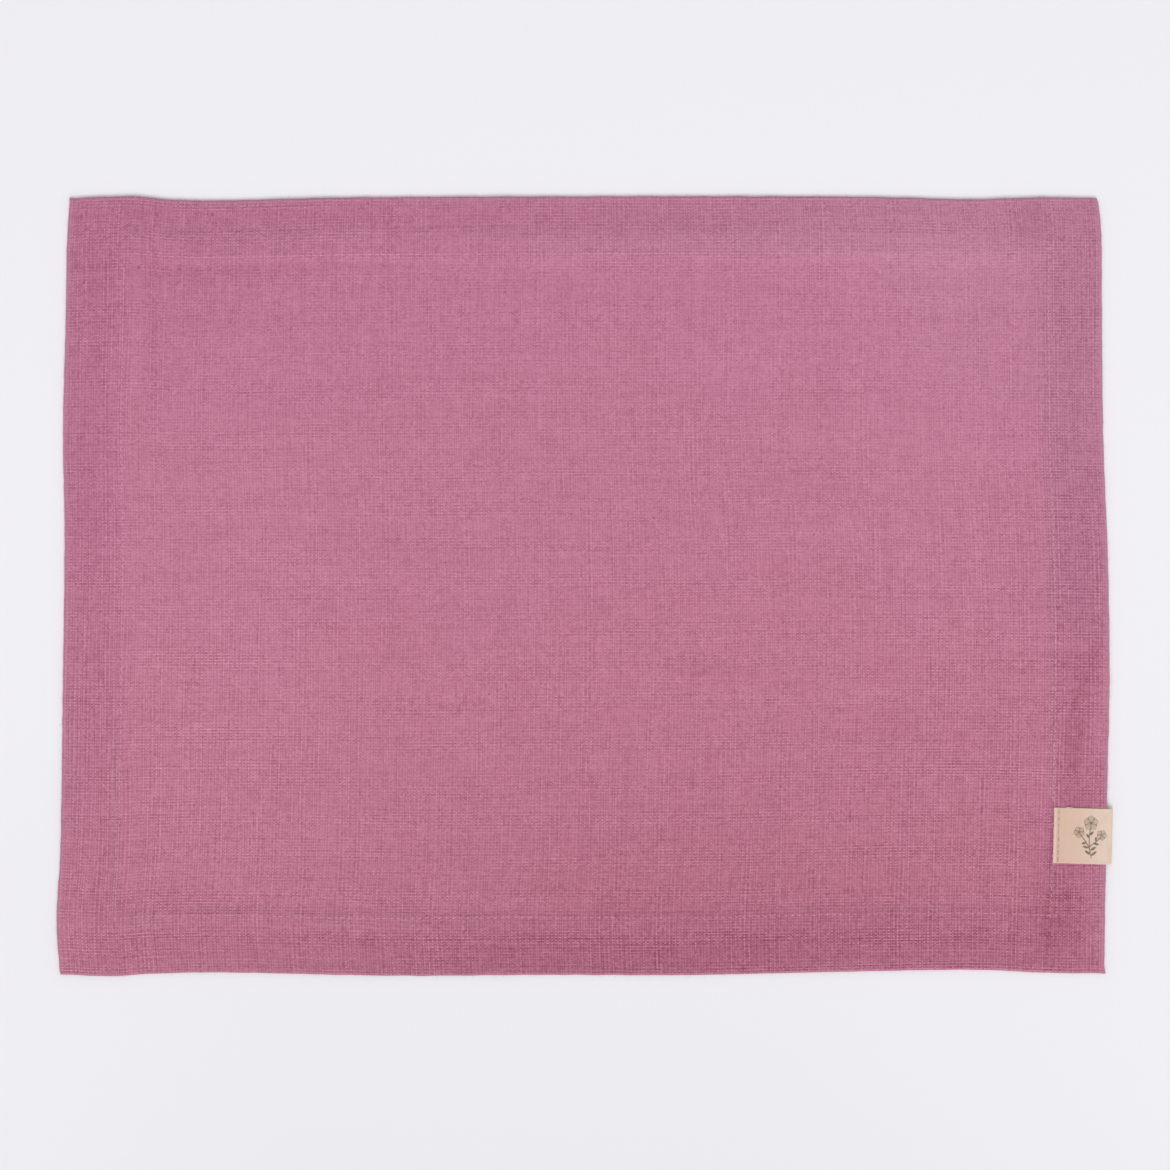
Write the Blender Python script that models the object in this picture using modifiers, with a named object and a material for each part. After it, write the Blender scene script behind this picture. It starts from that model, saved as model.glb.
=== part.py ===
"""A hemmed linen placemat that lies flat, with a ribbon label folded round its right-hand hem.

Metres, +Z up. +X runs along the mat's long side. The origin is the middle of the mat's
underside, and the mat lies on z = 0.
"""

import math
from collections import namedtuple

import bmesh
import bpy

MM = 0.001

# Linen mat: the sides of its true rectangle, and its thickness in the middle and at the hem
MAT_LENGTH = 470 * MM
MAT_DEPTH = 350 * MM
CLOTH_THICK = 1.0 * MM
HEM_THICK = 2.1 * MM
HEM_STEP = 3.0 * MM
EDGE_ROUND = 0.6 * MM
GRID_STEP = 13 * MM

# Each hem's width, from the mat's edge to its seam
HEM_LEFT = 27.8 * MM
HEM_RIGHT = 26.0 * MM
HEM_TOP = 27.5 * MM
HEM_BOTTOM = 27.5 * MM

# Ribbon label: a strip folded round the right-hand hem
LABEL_THICK = 1.0 * MM
LABEL_WIDTH = 25.1 * MM
LABEL_LEFT = 211.9 * MM
LABEL_RIGHT = 238.0 * MM
LABEL_BACK_LEFT = 213.0 * MM
LABEL_MIDDLE_Y = -113.3 * MM
LABEL_TURN = math.radians(-1.5)
LABEL_WIDTH_STEPS = 6
LABEL_LEG_STEPS = 6
LABEL_BEND_STEPS = 10

# The air between the two pieces
GAP = 0.3 * MM

LINEN_COLOUR = (0.503, 0.188, 0.279, 1.0)
RIBBON_COLOUR = (0.701, 0.497, 0.392, 1.0)

# How far a side strays from the true rectangle: the place along the side, and how far out (mm)
Stray = namedtuple("Stray", "along out")

RIGHT_SIDE = (
    Stray(-175, -0.9), Stray(-146, -0.5), Stray(-86, 0.6), Stray(-43, 1.5), Stray(11, 0.8),
    Stray(66, -1.3), Stray(131, -2.0), Stray(158, -2.2), Stray(175, -3.7),
)
LEFT_SIDE = (
    Stray(-175, 2.2), Stray(-151, 3.7), Stray(-119, 2.0), Stray(-54, 1.0), Stray(22, 0.1),
    Stray(70, 0.8), Stray(120, -0.4), Stray(158, -1.1), Stray(175, -2.4),
)
TOP_SIDE = (
    Stray(-235, 0.0), Stray(-207, 0.9), Stray(-186, -0.8), Stray(-164, -1.0), Stray(-142, -0.5),
    Stray(-110, 0.3), Stray(0, 0.8), Stray(107, 0.8), Stray(145, 0.3), Stray(177, -0.5),
    Stray(210, 0.4), Stray(235, 0.0),
)
BOTTOM_SIDE = (
    Stray(-235, 0.2), Stray(-212, 1.1), Stray(-194, 0.0), Stray(-164, -0.6), Stray(-83, 0.9),
    Stray(-15, 0.5), Stray(47, 0.6), Stray(118, -0.9), Stray(177, -1.8), Stray(210, -0.4),
    Stray(235, 0.1),
)

# The soft folds and humps of the cloth: middle, half sizes along and across, turn in degrees
# from +X, and how high the fold stands over the cloth round it (mm)
Fold = namedtuple("Fold", "name x y half_length half_width turn rise")

FOLDS = (
    Fold("lift over the label's back", 222, -113, 46, 17, 90, 0.45),
    Fold("roll of the right-hand edge", 231, -60, 70, 4, 90, 0.25),
    Fold("dip inside the right-hand edge", 219, -50, 60, 5, 90, -0.25),
    Fold("crease by the upper left corner", -194, 125, 42, 2.2, 90, -0.30),
    Fold("ridge beside that crease", -204, 125, 46, 4, 90, 0.30),
    Fold("old fold down the middle", 0, -35, 105, 3, 90, 0.20),
    Fold("swell of the lower left hem", -214, -161, 22, 10, 0, 0.30),
    Fold("swell of the lower right hem", 140, -162, 60, 9, 0, 0.20),
    Fold("swell of the upper hem", -60, 162, 80, 9, 0, 0.20),
    Fold("low wave across the middle", -60, 10, 130, 60, 20, 0.20),
)

LABEL_RECESS = LABEL_THICK + GAP


def remove_everything():
    """Start from an empty scene."""
    for thing in list(bpy.data.objects):
        bpy.data.objects.remove(thing, do_unlink=True)


def new_collection(name):
    """A new collection in the scene."""
    collection = bpy.data.collections.new(name)
    bpy.context.scene.collection.children.link(collection)
    return collection


def put_in(collection, thing):
    """Move an object into one collection."""
    for old in list(thing.users_collection):
        old.objects.unlink(thing)
    collection.objects.link(thing)


def cloth_material(name, colour, roughness):
    """A plain Principled material in a cloth's colour."""
    material = bpy.data.materials.new(name)
    material.use_nodes = True
    shader = material.node_tree.nodes["Principled BSDF"]
    shader.inputs["Base Color"].default_value = colour
    shader.inputs["Roughness"].default_value = roughness
    shader.inputs["Metallic"].default_value = 0.0
    material.diffuse_color = colour
    return material


def ease(value):
    """0 below 0, 1 above 1, and a smooth S between them."""
    value = min(max(value, 0.0), 1.0)
    return value * value * (3.0 - 2.0 * value)


def stray_at(side, along):
    """How far out a side lies at one place along it: a smooth curve through its rows."""
    place = min(max(along / MM, side[0].along), side[-1].along)
    last = len(side) - 1
    row = 0
    while row < last - 1 and place > side[row + 1].along:
        row += 1

    def slope(index):
        before = side[max(index - 1, 0)]
        after = side[min(index + 1, last)]
        return (after.out - before.out) / (after.along - before.along)

    start, end = side[row], side[row + 1]
    span = end.along - start.along
    t = (place - start.along) / span
    curve = (2 * t**3 - 3 * t**2 + 1) * start.out + (3 * t**2 - 2 * t**3) * end.out
    curve += (t**3 - 2 * t**2 + t) * span * slope(row) + (t**3 - t**2) * span * slope(row + 1)
    return curve * MM


def true_place(x, y):
    """Where a point of the true rectangle lies once the four sides have strayed."""
    across = x / MAT_LENGTH + 0.5
    up = y / MAT_DEPTH + 0.5
    shift_x = across * stray_at(RIGHT_SIDE, y) - (1.0 - across) * stray_at(LEFT_SIDE, y)
    shift_y = up * stray_at(TOP_SIDE, x) - (1.0 - up) * stray_at(BOTTOM_SIDE, x)
    return x + shift_x, y + shift_y


def hem_share(x, y):
    """1 on the hem, 0 inside its seam, and a smooth step between them."""
    inside = min(
        x + MAT_LENGTH / 2 - HEM_LEFT,
        MAT_LENGTH / 2 - HEM_RIGHT - x,
        y + MAT_DEPTH / 2 - HEM_BOTTOM,
        MAT_DEPTH / 2 - HEM_TOP - y,
    )
    return 1.0 - ease(inside / HEM_STEP + 0.5)


def fold_height(fold, x, y):
    """A fold's height at one place: a bell curve along it and across it."""
    turn = math.radians(fold.turn)
    right, up = x / MM - fold.x, y / MM - fold.y
    along = right * math.cos(turn) + up * math.sin(turn)
    across = up * math.cos(turn) - right * math.sin(turn)
    return fold.rise * MM * math.exp(-((along / fold.half_length) ** 2) - (across / fold.half_width) ** 2)


def mat_top(x, y):
    """The height of the mat's upper face: the cloth, the hem's step and the folds."""
    height = CLOTH_THICK + (HEM_THICK - CLOTH_THICK) * hem_share(x, y)
    return height + sum(fold_height(fold, x, y) for fold in FOLDS)


def fill_lines(lines, step):
    """Sorted grid lines, with even ones added wherever two lie more than a step apart."""
    lines = sorted(lines)
    filled = [lines[0]]
    for low, high in zip(lines, lines[1:]):
        parts = max(1, math.ceil((high - low) / step))
        filled += [low + (high - low) * part / parts for part in range(1, parts + 1)]
    return filled


def side_lines(length, low_hem, high_hem):
    """Grid lines across the mat that its two edges and hem steps need."""
    edges = [-length / 2, length / 2]
    for seam in (low_hem - length / 2, length / 2 - high_hem):
        edges += [seam - HEM_STEP / 2, seam, seam + HEM_STEP / 2]
    return edges


def upright_fold_lines():
    """Grid lines along each narrow fold that runs up the mat, at its crest and both its feet."""
    narrow = [fold for fold in FOLDS if fold.turn == 90 and fold.half_width < 5]
    return [(fold.x + side * fold.half_width) * MM for fold in narrow for side in (-1, 0, 1)]


def make_linen_mat(collection):
    """The mat: a grid bent to the outline, raised to its thickness, with a rounded rim."""
    x_lines = fill_lines(side_lines(MAT_LENGTH, HEM_LEFT, HEM_RIGHT) + upright_fold_lines(), GRID_STEP)
    y_lines = fill_lines(side_lines(MAT_DEPTH, HEM_BOTTOM, HEM_TOP), GRID_STEP)
    columns, rows = len(x_lines) - 1, len(y_lines) - 1
    bpy.ops.mesh.primitive_grid_add(x_subdivisions=columns, y_subdivisions=rows, size=2)
    mat = bpy.context.object
    mat.name = mat.data.name = "linen_mat"

    shape = bmesh.new()
    shape.from_mesh(mat.data)
    for vertex in shape.verts:
        x = x_lines[round((vertex.co.x + 1) / 2 * columns)]
        y = y_lines[round((vertex.co.y + 1) / 2 * rows)]
        vertex.co = (x, y, 0.0)
    raised = bmesh.ops.extrude_face_region(shape, geom=shape.faces[:])["geom"]
    for vertex in [item for item in raised if isinstance(item, bmesh.types.BMVert)]:
        vertex.co.z = mat_top(vertex.co.x, vertex.co.y)
    for vertex in shape.verts:
        vertex.co.x, vertex.co.y = true_place(vertex.co.x, vertex.co.y)
    bmesh.ops.recalc_face_normals(shape, faces=shape.faces)
    shape.to_mesh(mat.data)
    shape.free()

    rounding = mat.modifiers.new("rounded rim", "BEVEL")
    rounding.width = EDGE_ROUND
    rounding.segments = 2
    rounding.limit_method = "ANGLE"
    rounding.angle_limit = math.radians(60)
    mat.data.materials.append(cloth_material("linen", LINEN_COLOUR, 0.9))
    put_in(collection, mat)
    return mat


def cut_label_recess(mat, cutters):
    """A shallow pocket under the hem, where the label's back leg lies."""
    length = LABEL_RIGHT - LABEL_BACK_LEFT + 2 * GAP
    middle_x = (LABEL_RIGHT + LABEL_BACK_LEFT) / 2
    bpy.ops.mesh.primitive_cube_add(size=1, location=(middle_x, LABEL_MIDDLE_Y, 0.0))
    cutter = bpy.context.object
    cutter.name = "label_recess_cutter"
    cutter.dimensions = (length, LABEL_WIDTH + 2 * GAP, 2 * LABEL_RECESS)
    cutter.rotation_euler.z = LABEL_TURN
    cutter.display_type = "WIRE"
    cutter.hide_render = True
    put_in(cutters, cutter)

    recess = mat.modifiers.new("label recess", "BOOLEAN")
    recess.operation = "DIFFERENCE"
    recess.solver = "EXACT"
    recess.object = cutter


def label_path(y):
    """The middle line of the ribbon at one place across it, as x and z: front leg, bend, back leg."""
    half = LABEL_THICK / 2

    def front_height(x):
        return mat_top(x, y) + GAP + half

    bend_radius = (front_height(LABEL_RIGHT - 2 * LABEL_THICK) - half) / 2
    bend_x = LABEL_RIGHT - half - bend_radius
    points = []
    for step in range(LABEL_LEG_STEPS):
        x = LABEL_LEFT + (bend_x - LABEL_LEFT) * step / LABEL_LEG_STEPS
        points.append((x, front_height(x)))
    for step in range(LABEL_BEND_STEPS + 1):
        angle = math.pi / 2 - math.pi * step / LABEL_BEND_STEPS
        points.append((bend_x + bend_radius * math.cos(angle), half + bend_radius * (1 + math.sin(angle))))
    for step in range(1, LABEL_LEG_STEPS + 1):
        points.append((bend_x + (LABEL_BACK_LEFT - bend_x) * step / LABEL_LEG_STEPS, half))
    return points


def make_ribbon_label(collection):
    """The label: a flat strip led along its path round the hem, then thickened."""
    path_steps = 2 * LABEL_LEG_STEPS + LABEL_BEND_STEPS
    bpy.ops.mesh.primitive_grid_add(x_subdivisions=path_steps, y_subdivisions=LABEL_WIDTH_STEPS, size=2)
    label = bpy.context.object
    label.name = label.data.name = "ribbon_label"
    middle_x = (LABEL_RIGHT + LABEL_BACK_LEFT) / 2
    for vertex in label.data.vertices:
        across = vertex.co.y / 2 * LABEL_WIDTH
        path = label_path(LABEL_MIDDLE_Y + across)
        x, z = path[round((vertex.co.x + 1) / 2 * path_steps)]
        along = x - middle_x
        vertex.co.x = middle_x + along * math.cos(LABEL_TURN) - across * math.sin(LABEL_TURN)
        vertex.co.y = LABEL_MIDDLE_Y + along * math.sin(LABEL_TURN) + across * math.cos(LABEL_TURN)
        vertex.co.z = z

    thickness = label.modifiers.new("ribbon thickness", "SOLIDIFY")
    thickness.thickness = LABEL_THICK
    thickness.offset = 0.0
    thickness.use_even_offset = True
    label.data.materials.append(cloth_material("ribbon", RIBBON_COLOUR, 0.85))
    put_in(collection, label)
    return label


def main():
    remove_everything()
    pieces = new_collection("fabric_placemat")
    cutters = new_collection("cutters")
    mat = make_linen_mat(pieces)
    cut_label_recess(mat, cutters)
    make_ribbon_label(pieces)


main()
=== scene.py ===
# %% [markdown]
# # A linen placemat
#
# The real thing is one rectangle of coarse linen in dusty rose. Its edges are turned under twice
# and stitched, and a short ribbon is folded round the right-hand hem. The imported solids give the
# true outline and heights. This script dresses them: the cloth becomes a thin sheet with a real
# double hem, and the sewing, the ribbon, the fibres and the weave are added. Everything is in
# metres, in the frame that the solids share: +X to the right, +Y away, +Z up.

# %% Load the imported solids
import math

import bpy
import numpy as np
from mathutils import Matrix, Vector


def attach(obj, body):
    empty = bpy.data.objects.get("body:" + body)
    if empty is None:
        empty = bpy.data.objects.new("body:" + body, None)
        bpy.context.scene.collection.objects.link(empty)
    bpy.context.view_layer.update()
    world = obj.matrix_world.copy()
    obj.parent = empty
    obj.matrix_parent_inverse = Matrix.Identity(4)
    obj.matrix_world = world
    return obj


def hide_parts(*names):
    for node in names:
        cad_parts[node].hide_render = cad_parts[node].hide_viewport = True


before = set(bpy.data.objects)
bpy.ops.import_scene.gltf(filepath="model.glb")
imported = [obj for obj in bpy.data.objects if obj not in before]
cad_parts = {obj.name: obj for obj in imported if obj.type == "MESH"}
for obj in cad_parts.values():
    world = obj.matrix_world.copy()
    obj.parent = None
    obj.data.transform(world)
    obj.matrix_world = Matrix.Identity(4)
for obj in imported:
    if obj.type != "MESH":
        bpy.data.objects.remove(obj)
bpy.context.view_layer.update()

MM = 0.001
print("solids:", sorted(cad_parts))

# %% [markdown]
# ## Sizes
#
# The sizes that carry over from the solids come first: the mat's true rectangle and the width of
# each hem. The cloth itself is thinner than its solid, because the solid fills the space that three
# layers of cloth share at the hem. The raw edge is turned in inside each hem, and the cloth was cut
# larger than the mat by all that lies underneath.

# %% The sizes of the mat and its layers
MAT_LENGTH = 470 * MM
MAT_DEPTH = 350 * MM
LAYER = 0.60 * MM
LAYER_GAP = 0.075 * MM
REST_HEIGHT = 0.95 * MM
HEM_HEIGHT = 3 * LAYER + 2 * LAYER_GAP
HEMS = {"left": 27.8 * MM, "right": 26.0 * MM, "top": 27.5 * MM, "bottom": 27.5 * MM}
TURN_INS = {"left": 6.6 * MM, "right": 6.0 * MM, "top": 11.2 * MM, "bottom": 6.7 * MM}
CUT_SIZE = (
    MAT_LENGTH + sum(part[side] for part in (HEMS, TURN_INS) for side in ("left", "right")),
    MAT_DEPTH + sum(part[side] for part in (HEMS, TURN_INS) for side in ("top", "bottom")),
)
print("hem height %.2f mm" % (HEM_HEIGHT / MM))
print("cloth cut to %.0f x %.0f mm" % (CUT_SIZE[0] / MM, CUT_SIZE[1] / MM))

# %% [markdown]
# ## The wandering outline
#
# No hemmed edge is straight. Each side is a short table: how far along the side, and how far out
# of the true rectangle it strays there. A table is easy to read off a photograph and to correct.

# %% The four sides
# Columns: place along the side, stray outwards (mm)
SIDES = {
    "right": np.array([
        (-175, -0.9), (-146, -0.5), (-86, 0.6), (-43, 1.5), (11, 0.8),
        (66, -1.3), (131, -2.0), (158, -2.2), (175, -3.7),
    ]),
    "left": np.array([
        (-175, 2.2), (-151, 3.7), (-119, 2.0), (-54, 1.0), (22, 0.1),
        (70, 0.8), (120, -0.4), (158, -1.1), (175, -2.4),
    ]),
    "top": np.array([
        (-235, 0.0), (-207, 0.9), (-186, -0.8), (-164, -1.0), (-142, -0.5), (-110, 0.3),
        (0, 0.8), (107, 0.8), (145, 0.3), (177, -0.5), (210, 0.4), (235, 0.0),
    ]),
    "bottom": np.array([
        (-235, 0.2), (-212, 1.1), (-194, 0.0), (-164, -0.6), (-83, 0.9), (-15, 0.5),
        (47, 0.6), (118, -0.9), (177, -1.8), (210, -0.4), (235, -0.2),
    ]),
}
for side, rows in SIDES.items():
    print("the", side, "side strays from", rows[:, 1].min(), "to", rows[:, 1].max(), "mm")

# %% [markdown]
# A stretched hem bends smoothly from one row of its table to the next. Straight lines would leave
# kinks, so cubic pieces join the rows: each piece starts and ends with the slope that its
# neighbours share.

# %% A smooth curve through a table
def curve_through(rows, place):
    """Cubic pieces through a table's rows. The slope at a row is that of the line between its
    neighbours: (next - last) / (distance between them). Rows are in mm, the result in metres."""
    along, out = rows.T
    slope = np.empty(len(rows))
    slope[1:-1] = (out[2:] - out[:-2]) / (along[2:] - along[:-2])
    slope[0] = (out[1] - out[0]) / (along[1] - along[0])
    slope[-1] = (out[-1] - out[-2]) / (along[-1] - along[-2])
    place = np.clip(np.asarray(place) / MM, along[0], along[-1])
    row = np.clip(np.searchsorted(along, place) - 1, 0, len(along) - 2)
    span = along[row + 1] - along[row]
    t = (place - along[row]) / span
    curve = (2 * t**3 - 3 * t**2 + 1) * out[row] + (3 * t**2 - 2 * t**3) * out[row + 1]
    curve += ((t**3 - 2 * t**2 + t) * slope[row] + (t**3 - t**2) * slope[row + 1]) * span
    return curve * MM


print("the right side strays %.2f mm in its middle" % (curve_through(SIDES["right"], 0) / MM))

# %% [markdown]
# Cloth also has small unevenness that no table could hold. It is made of many sine waves of random
# length, which never fall into step, so no beat shows. The seed fixes the random numbers, so every
# run gives the same mat.

# %% Wandering lines
def waves(seed, place, lengths, count=24):
    """A wandering line without a beat: a sum of sine waves of random length and phase, each as
    high as its share, so that the sum is seldom more than 1 either way."""
    random = np.random.default_rng(seed)
    place = np.asarray(place)[..., None]
    length = random.uniform(*lengths, count)
    phase = random.uniform(0, 2 * np.pi, count)
    return np.sin(2 * np.pi * place / length + phase).sum(axis=-1) / math.sqrt(2 * count)


WOBBLE = 0.10 * MM
WOBBLE_LENGTHS = (6 * MM, 24 * MM)
wobbles = WOBBLE * waves(11, np.linspace(-0.17, 0.17, 200), WOBBLE_LENGTHS)
print("edges wobble by up to %.2f mm" % (np.abs(wobbles).max() / MM))

# %% [markdown]
# The inside of the mat follows its sides in proportion, so the threads bend with the edges as they
# do in real cloth. At the corners, four thick layers push the cloth out to small tips of their own.

# %% From the true rectangle to where the cloth lies
# Columns: corner x, corner y (mm), push in x, push in y (mm), reach (mm)
CORNER_TIPS = np.array([
    (-235, 175, -0.25, 0.15, 1.6),
    (235, 175, -0.55, -0.10, 1.8),
    (-235, -175, 0.35, -0.15, 1.6),
    (235, -175, 0.60, -0.15, 2.2),
])


def true_place(x, y):
    """Carries a point of the true rectangle to where the cloth really lies: the stray of the two
    sides nearest in x and in y, each in proportion to how near they are, a fine wobble that the
    hems add and that a high power fades within them, and the tips at the corners."""
    across, up = x / MAT_LENGTH + 0.5, y / MAT_DEPTH + 0.5
    nearness = {
        "right": (y, across**12), "left": (y, (1 - across) ** 12),
        "top": (x, up**9), "bottom": (x, (1 - up) ** 9),
    }
    right, left, top, bottom = (
        curve_through(SIDES[side], place) + WOBBLE * waves(seed, place, WOBBLE_LENGTHS) * near
        for seed, (side, (place, near)) in enumerate(nearness.items(), start=11)
    )
    x_there, y_there = x + across * right - (1 - across) * left, y + up * top - (1 - up) * bottom
    for corner_x, corner_y, push_x, push_y, reach in CORNER_TIPS * MM:
        near = np.exp(-((x - corner_x) ** 2 + (y - corner_y) ** 2) / reach**2)
        x_there, y_there = x_there + push_x * near, y_there + push_y * near
    return x_there, y_there


corner = true_place(np.array([MAT_LENGTH / 2]), np.array([MAT_DEPTH / 2]))
print("upper right corner at %.1f, %.1f mm" % (corner[0][0] / MM, corner[1][0] / MM))

# %% [markdown]
# ## How high the cloth lies
#
# A laid cloth is never flat either. Its height is a sum of a few simple shapes, each worked out
# below. The first are soft folds. A fold is a bell shape with its own length, width, turn and rise,
# because ironed linen has no sharp crease left in it.

# %% Soft folds
# Columns: x, y, half length, half width (mm), turn from +X (degrees), rise (mm)
FOLDS = np.array([
    (229, -88, 62, 6, 90, 0.45),
    (217, -60, 70, 6, 90, -0.20),
    (-194, 125, 42, 2.2, 90, -0.30),
    (-204, 125, 46, 4.0, 90, 0.30),
    (0, -35, 105, 3.0, 90, 0.20),
    (-214, -161, 22, 10, 0, 0.30),
    (140, -162, 60, 9, 0, 0.20),
    (-60, 162, 80, 9, 0, 0.20),
    (-60, 10, 130, 60, 20, 0.20),
    (-150, -146, 60, 3.0, 4, 0.14),
    (172, 147, 34, 3.5, -38, 0.16),
    (-216, 20, 60, 3.0, 88, 0.15),
    (196, -146, 16, 3.0, 42, 0.16),
])


def bell(distance, width):
    """exp(-(distance / width)^2): 1 at no distance, and soon 0 past the width."""
    return np.exp(-((distance / width) ** 2))


def bells(table, x, y):
    """The rows of a table added up: each is its last column times a bell along and one across,
    exp(-(along / half length)^2 - (across / half width)^2), turned by its angle."""
    total = np.zeros_like(x)
    for middle_x, middle_y, half_length, half_width, turn, rise in table:
        angle = math.radians(turn)
        right, up = x / MM - middle_x, y / MM - middle_y
        along = right * math.cos(angle) + up * math.sin(angle)
        across = up * math.cos(angle) - right * math.sin(angle)
        total += rise * np.exp(-((along / half_length) ** 2) - (across / half_width) ** 2)
    return total


print(len(FOLDS), "folds, the highest", FOLDS[:, -1].max(), "mm")

# %% [markdown]
# The hem is three layers thick, so the face steps up onto it. Between the mat's edge and the
# turned-in strip only two layers lie on each other, and the cloth sinks a little. The fold at the
# very edge stands a little proud again. All three are smooth steps measured from the edges.

# %% Steps onto the hem
HEM_STEP = 4.5 * MM
STRIP_STEP = 2.4 * MM
EDGE_ROLL = 3.5 * MM
STRIP_STARTS = {side: HEMS[side] - TURN_INS[side] for side in HEMS}


def ease(value):
    """0 below 0, 1 above 1, and between them the smooth S of 3t^2 - 2t^3."""
    value = np.clip(value, 0, 1)
    return value * value * (3 - 2 * value)


def inside_of(x, y):
    """The distance inside each of the four edges, by side."""
    right, up = MAT_LENGTH / 2, MAT_DEPTH / 2
    return {"left": x + right, "right": right - x, "top": up - y, "bottom": y + up}


def inside_frame(x, y, widths):
    """How far inside a frame round the mat a point is, with one width for each side."""
    return np.minimum.reduce([inside - widths[side] for side, inside in inside_of(x, y).items()])


def hem_share(x, y):
    """1 on the hem and 0 inside it, with a smooth step at the hem's inner edge."""
    return 1 - ease(inside_frame(x, y, HEMS) / HEM_STEP + 0.4)


def two_layers(x, y):
    """1 from the edge to where the turned-in strip begins, 16 to 21 mm inside it, and 0 beyond."""
    return 1 - ease(inside_frame(x, y, STRIP_STARTS) / STRIP_STEP + 0.5)


def edge_roll(x, y):
    """The fold at the very edge: a bell of the distance from the edge."""
    return bell(np.minimum(MAT_LENGTH / 2 - np.abs(x), MAT_DEPTH / 2 - np.abs(y)), EDGE_ROLL)


def hem_face(x, y):
    """The height of the face over the table where nothing but the layers under it counts."""
    return REST_HEIGHT + (HEM_HEIGHT - REST_HEIGHT) * hem_share(x, y)


print("turned-in strips start", {side: round(start / MM, 1) for side, start in STRIP_STARTS.items()}, "mm in")

# %% [markdown]
# A seam runs just outside the inner edge of each hem. The lower seam runs on past the right-hand
# one, to the edge of the hem. The thread pulls a furrow into the cloth, and the cloth beside it
# draws up in short ripples that fade away from the seam.

# %% Furrows and puckers of the seams
STITCH_INSET = 1.7 * MM
SEAM_OVERRUN = 15 * MM
FURROW = 0.8 * MM
PUCKER_REACH = 7 * MM
SEAMS = {
    "left": HEMS["left"] - MAT_LENGTH / 2 - STITCH_INSET,
    "right": MAT_LENGTH / 2 - HEMS["right"] + STITCH_INSET,
    "bottom": HEMS["bottom"] - MAT_DEPTH / 2 - STITCH_INSET,
    "top": MAT_DEPTH / 2 - HEMS["top"] + STITCH_INSET,
}
SEAM_ENDS = {
    "left": (SEAMS["bottom"], SEAMS["top"]),
    "right": (SEAMS["bottom"], SEAMS["top"]),
    "bottom": (SEAMS["left"], SEAMS["right"] + SEAM_OVERRUN),
    "top": (SEAMS["left"], SEAMS["right"]),
}


def beside_seam(side, x, y):
    """The distance to a seam, the place along it, and 1 beside it that fades to 0 past its ends."""
    distance, along = (x - SEAMS[side], y) if side in ("left", "right") else (y - SEAMS[side], x)
    low, high = SEAM_ENDS[side]
    return distance, along, ease((along - low) / (2 * MM) + 1) * ease((high - along) / (2 * MM) + 1)


def seam_groove(x, y):
    """The furrow that the thread pulls, 0 to 1: a bell of the distance to the nearest seam."""
    furrow = np.zeros_like(x)
    for side in SEAMS:
        distance, _, beside = beside_seam(side, x, y)
        furrow = np.maximum(furrow, beside * bell(distance, FURROW))
    return furrow


def seam_puckers(x, y):
    """Waves along each seam that fade as exp(-distance / reach) on both sides of it."""
    ripple = np.zeros_like(x)
    for seed, side in enumerate(SEAMS, start=40):
        distance, along, beside = beside_seam(side, x, y)
        fading = beside * np.exp(-np.abs(distance) / PUCKER_REACH)
        ripple += fading * waves(seed, along, (4.5 * MM, 15 * MM))
    return ripple


print("seams at", {side: round(place / MM, 1) for side, place in SEAMS.items()}, "mm")

# %% [markdown]
# Last comes a slow, patternless swell of the whole cloth, which damp and ironing leave behind. It is
# a sum of sine waves that run in random directions, the long ones highest.

# %% The swell of the whole cloth
SWELL_WAVES = 48
SWELL_LENGTHS = (14, 90)
SWELL = 0.0022 * MM / 8


def unevenness(x, y):
    """Sine waves of random direction, length and phase, each as high as it is long."""
    random = np.random.default_rng(7)
    height = np.zeros_like(x)
    lows, highs = (0, SWELL_LENGTHS[0], 0), (math.pi, SWELL_LENGTHS[1], 2 * math.pi)
    for turn, length, phase in random.uniform(lows, highs, (SWELL_WAVES, 3)):
        along = (x * math.cos(turn) + y * math.sin(turn)) / MM
        height += length * np.sin(2 * math.pi * along / length + phase)
    return height * SWELL


sample_x, sample_y = np.meshgrid(np.linspace(-0.2, 0.2, 60), np.linspace(-0.15, 0.15, 60))
print("the cloth swells by %.2f mm either way" % (np.abs(unevenness(sample_x, sample_y)).max() / MM))

# %% [markdown]
# ## The label's place
#
# The ribbon is folded round the hem, so the hem climbs onto its back leg. The label's own numbers
# are needed here already, because the cloth's height depends on them.

# %% Where the label lies, and the lift that it gives the hem
RIBBON = 0.40 * MM
LABEL_WIDTH = 25.1 * MM
LABEL_LEFT = 211.1 * MM
LABEL_RIGHT = 237.6 * MM
LABEL_BACK_LEFT = 212.3 * MM
LABEL_MIDDLE = (225.5 * MM, -112.8 * MM)
LABEL_TURN = math.radians(-1.5)
LABEL_AIR = 0.07 * MM


def label_place(x, y):
    """The mat's coordinates turned into the label's own: along it and across it."""
    along, across = x - LABEL_MIDDLE[0], y - LABEL_MIDDLE[1]
    cos, sin = math.cos(LABEL_TURN), math.sin(LABEL_TURN)
    return along * cos + across * sin, across * cos - along * sin


def label_lift(x, y):
    """How far the back leg raises the hem: its thickness over the leg, falling off smoothly
    within 5 mm of its sides and 4 mm of its end."""
    along, across = label_place(x, y)
    beside = 1 - ease((np.abs(across) - LABEL_WIDTH / 2) / (5 * MM))
    behind = ease((along - (LABEL_BACK_LEFT - LABEL_MIDDLE[0])) / (4 * MM) + 1)
    return (RIBBON + LABEL_AIR) * beside * behind


print("the back leg lifts the hem by %.2f mm" % ((RIBBON + LABEL_AIR) / MM))

# %% [markdown]
# Now all the heights can be added up. The parts are kept as functions of x and y, so the same sum
# serves the cloth, the ribbon on it, the stitches and the fibres.

# %% The height of the face
ROLL_RISE = 0.12 * MM
TWO_LAYER_SINK = 0.45 * MM
PUCKER_RISE = 0.06 * MM
FURROW_DEPTH = 0.12 * MM


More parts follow.
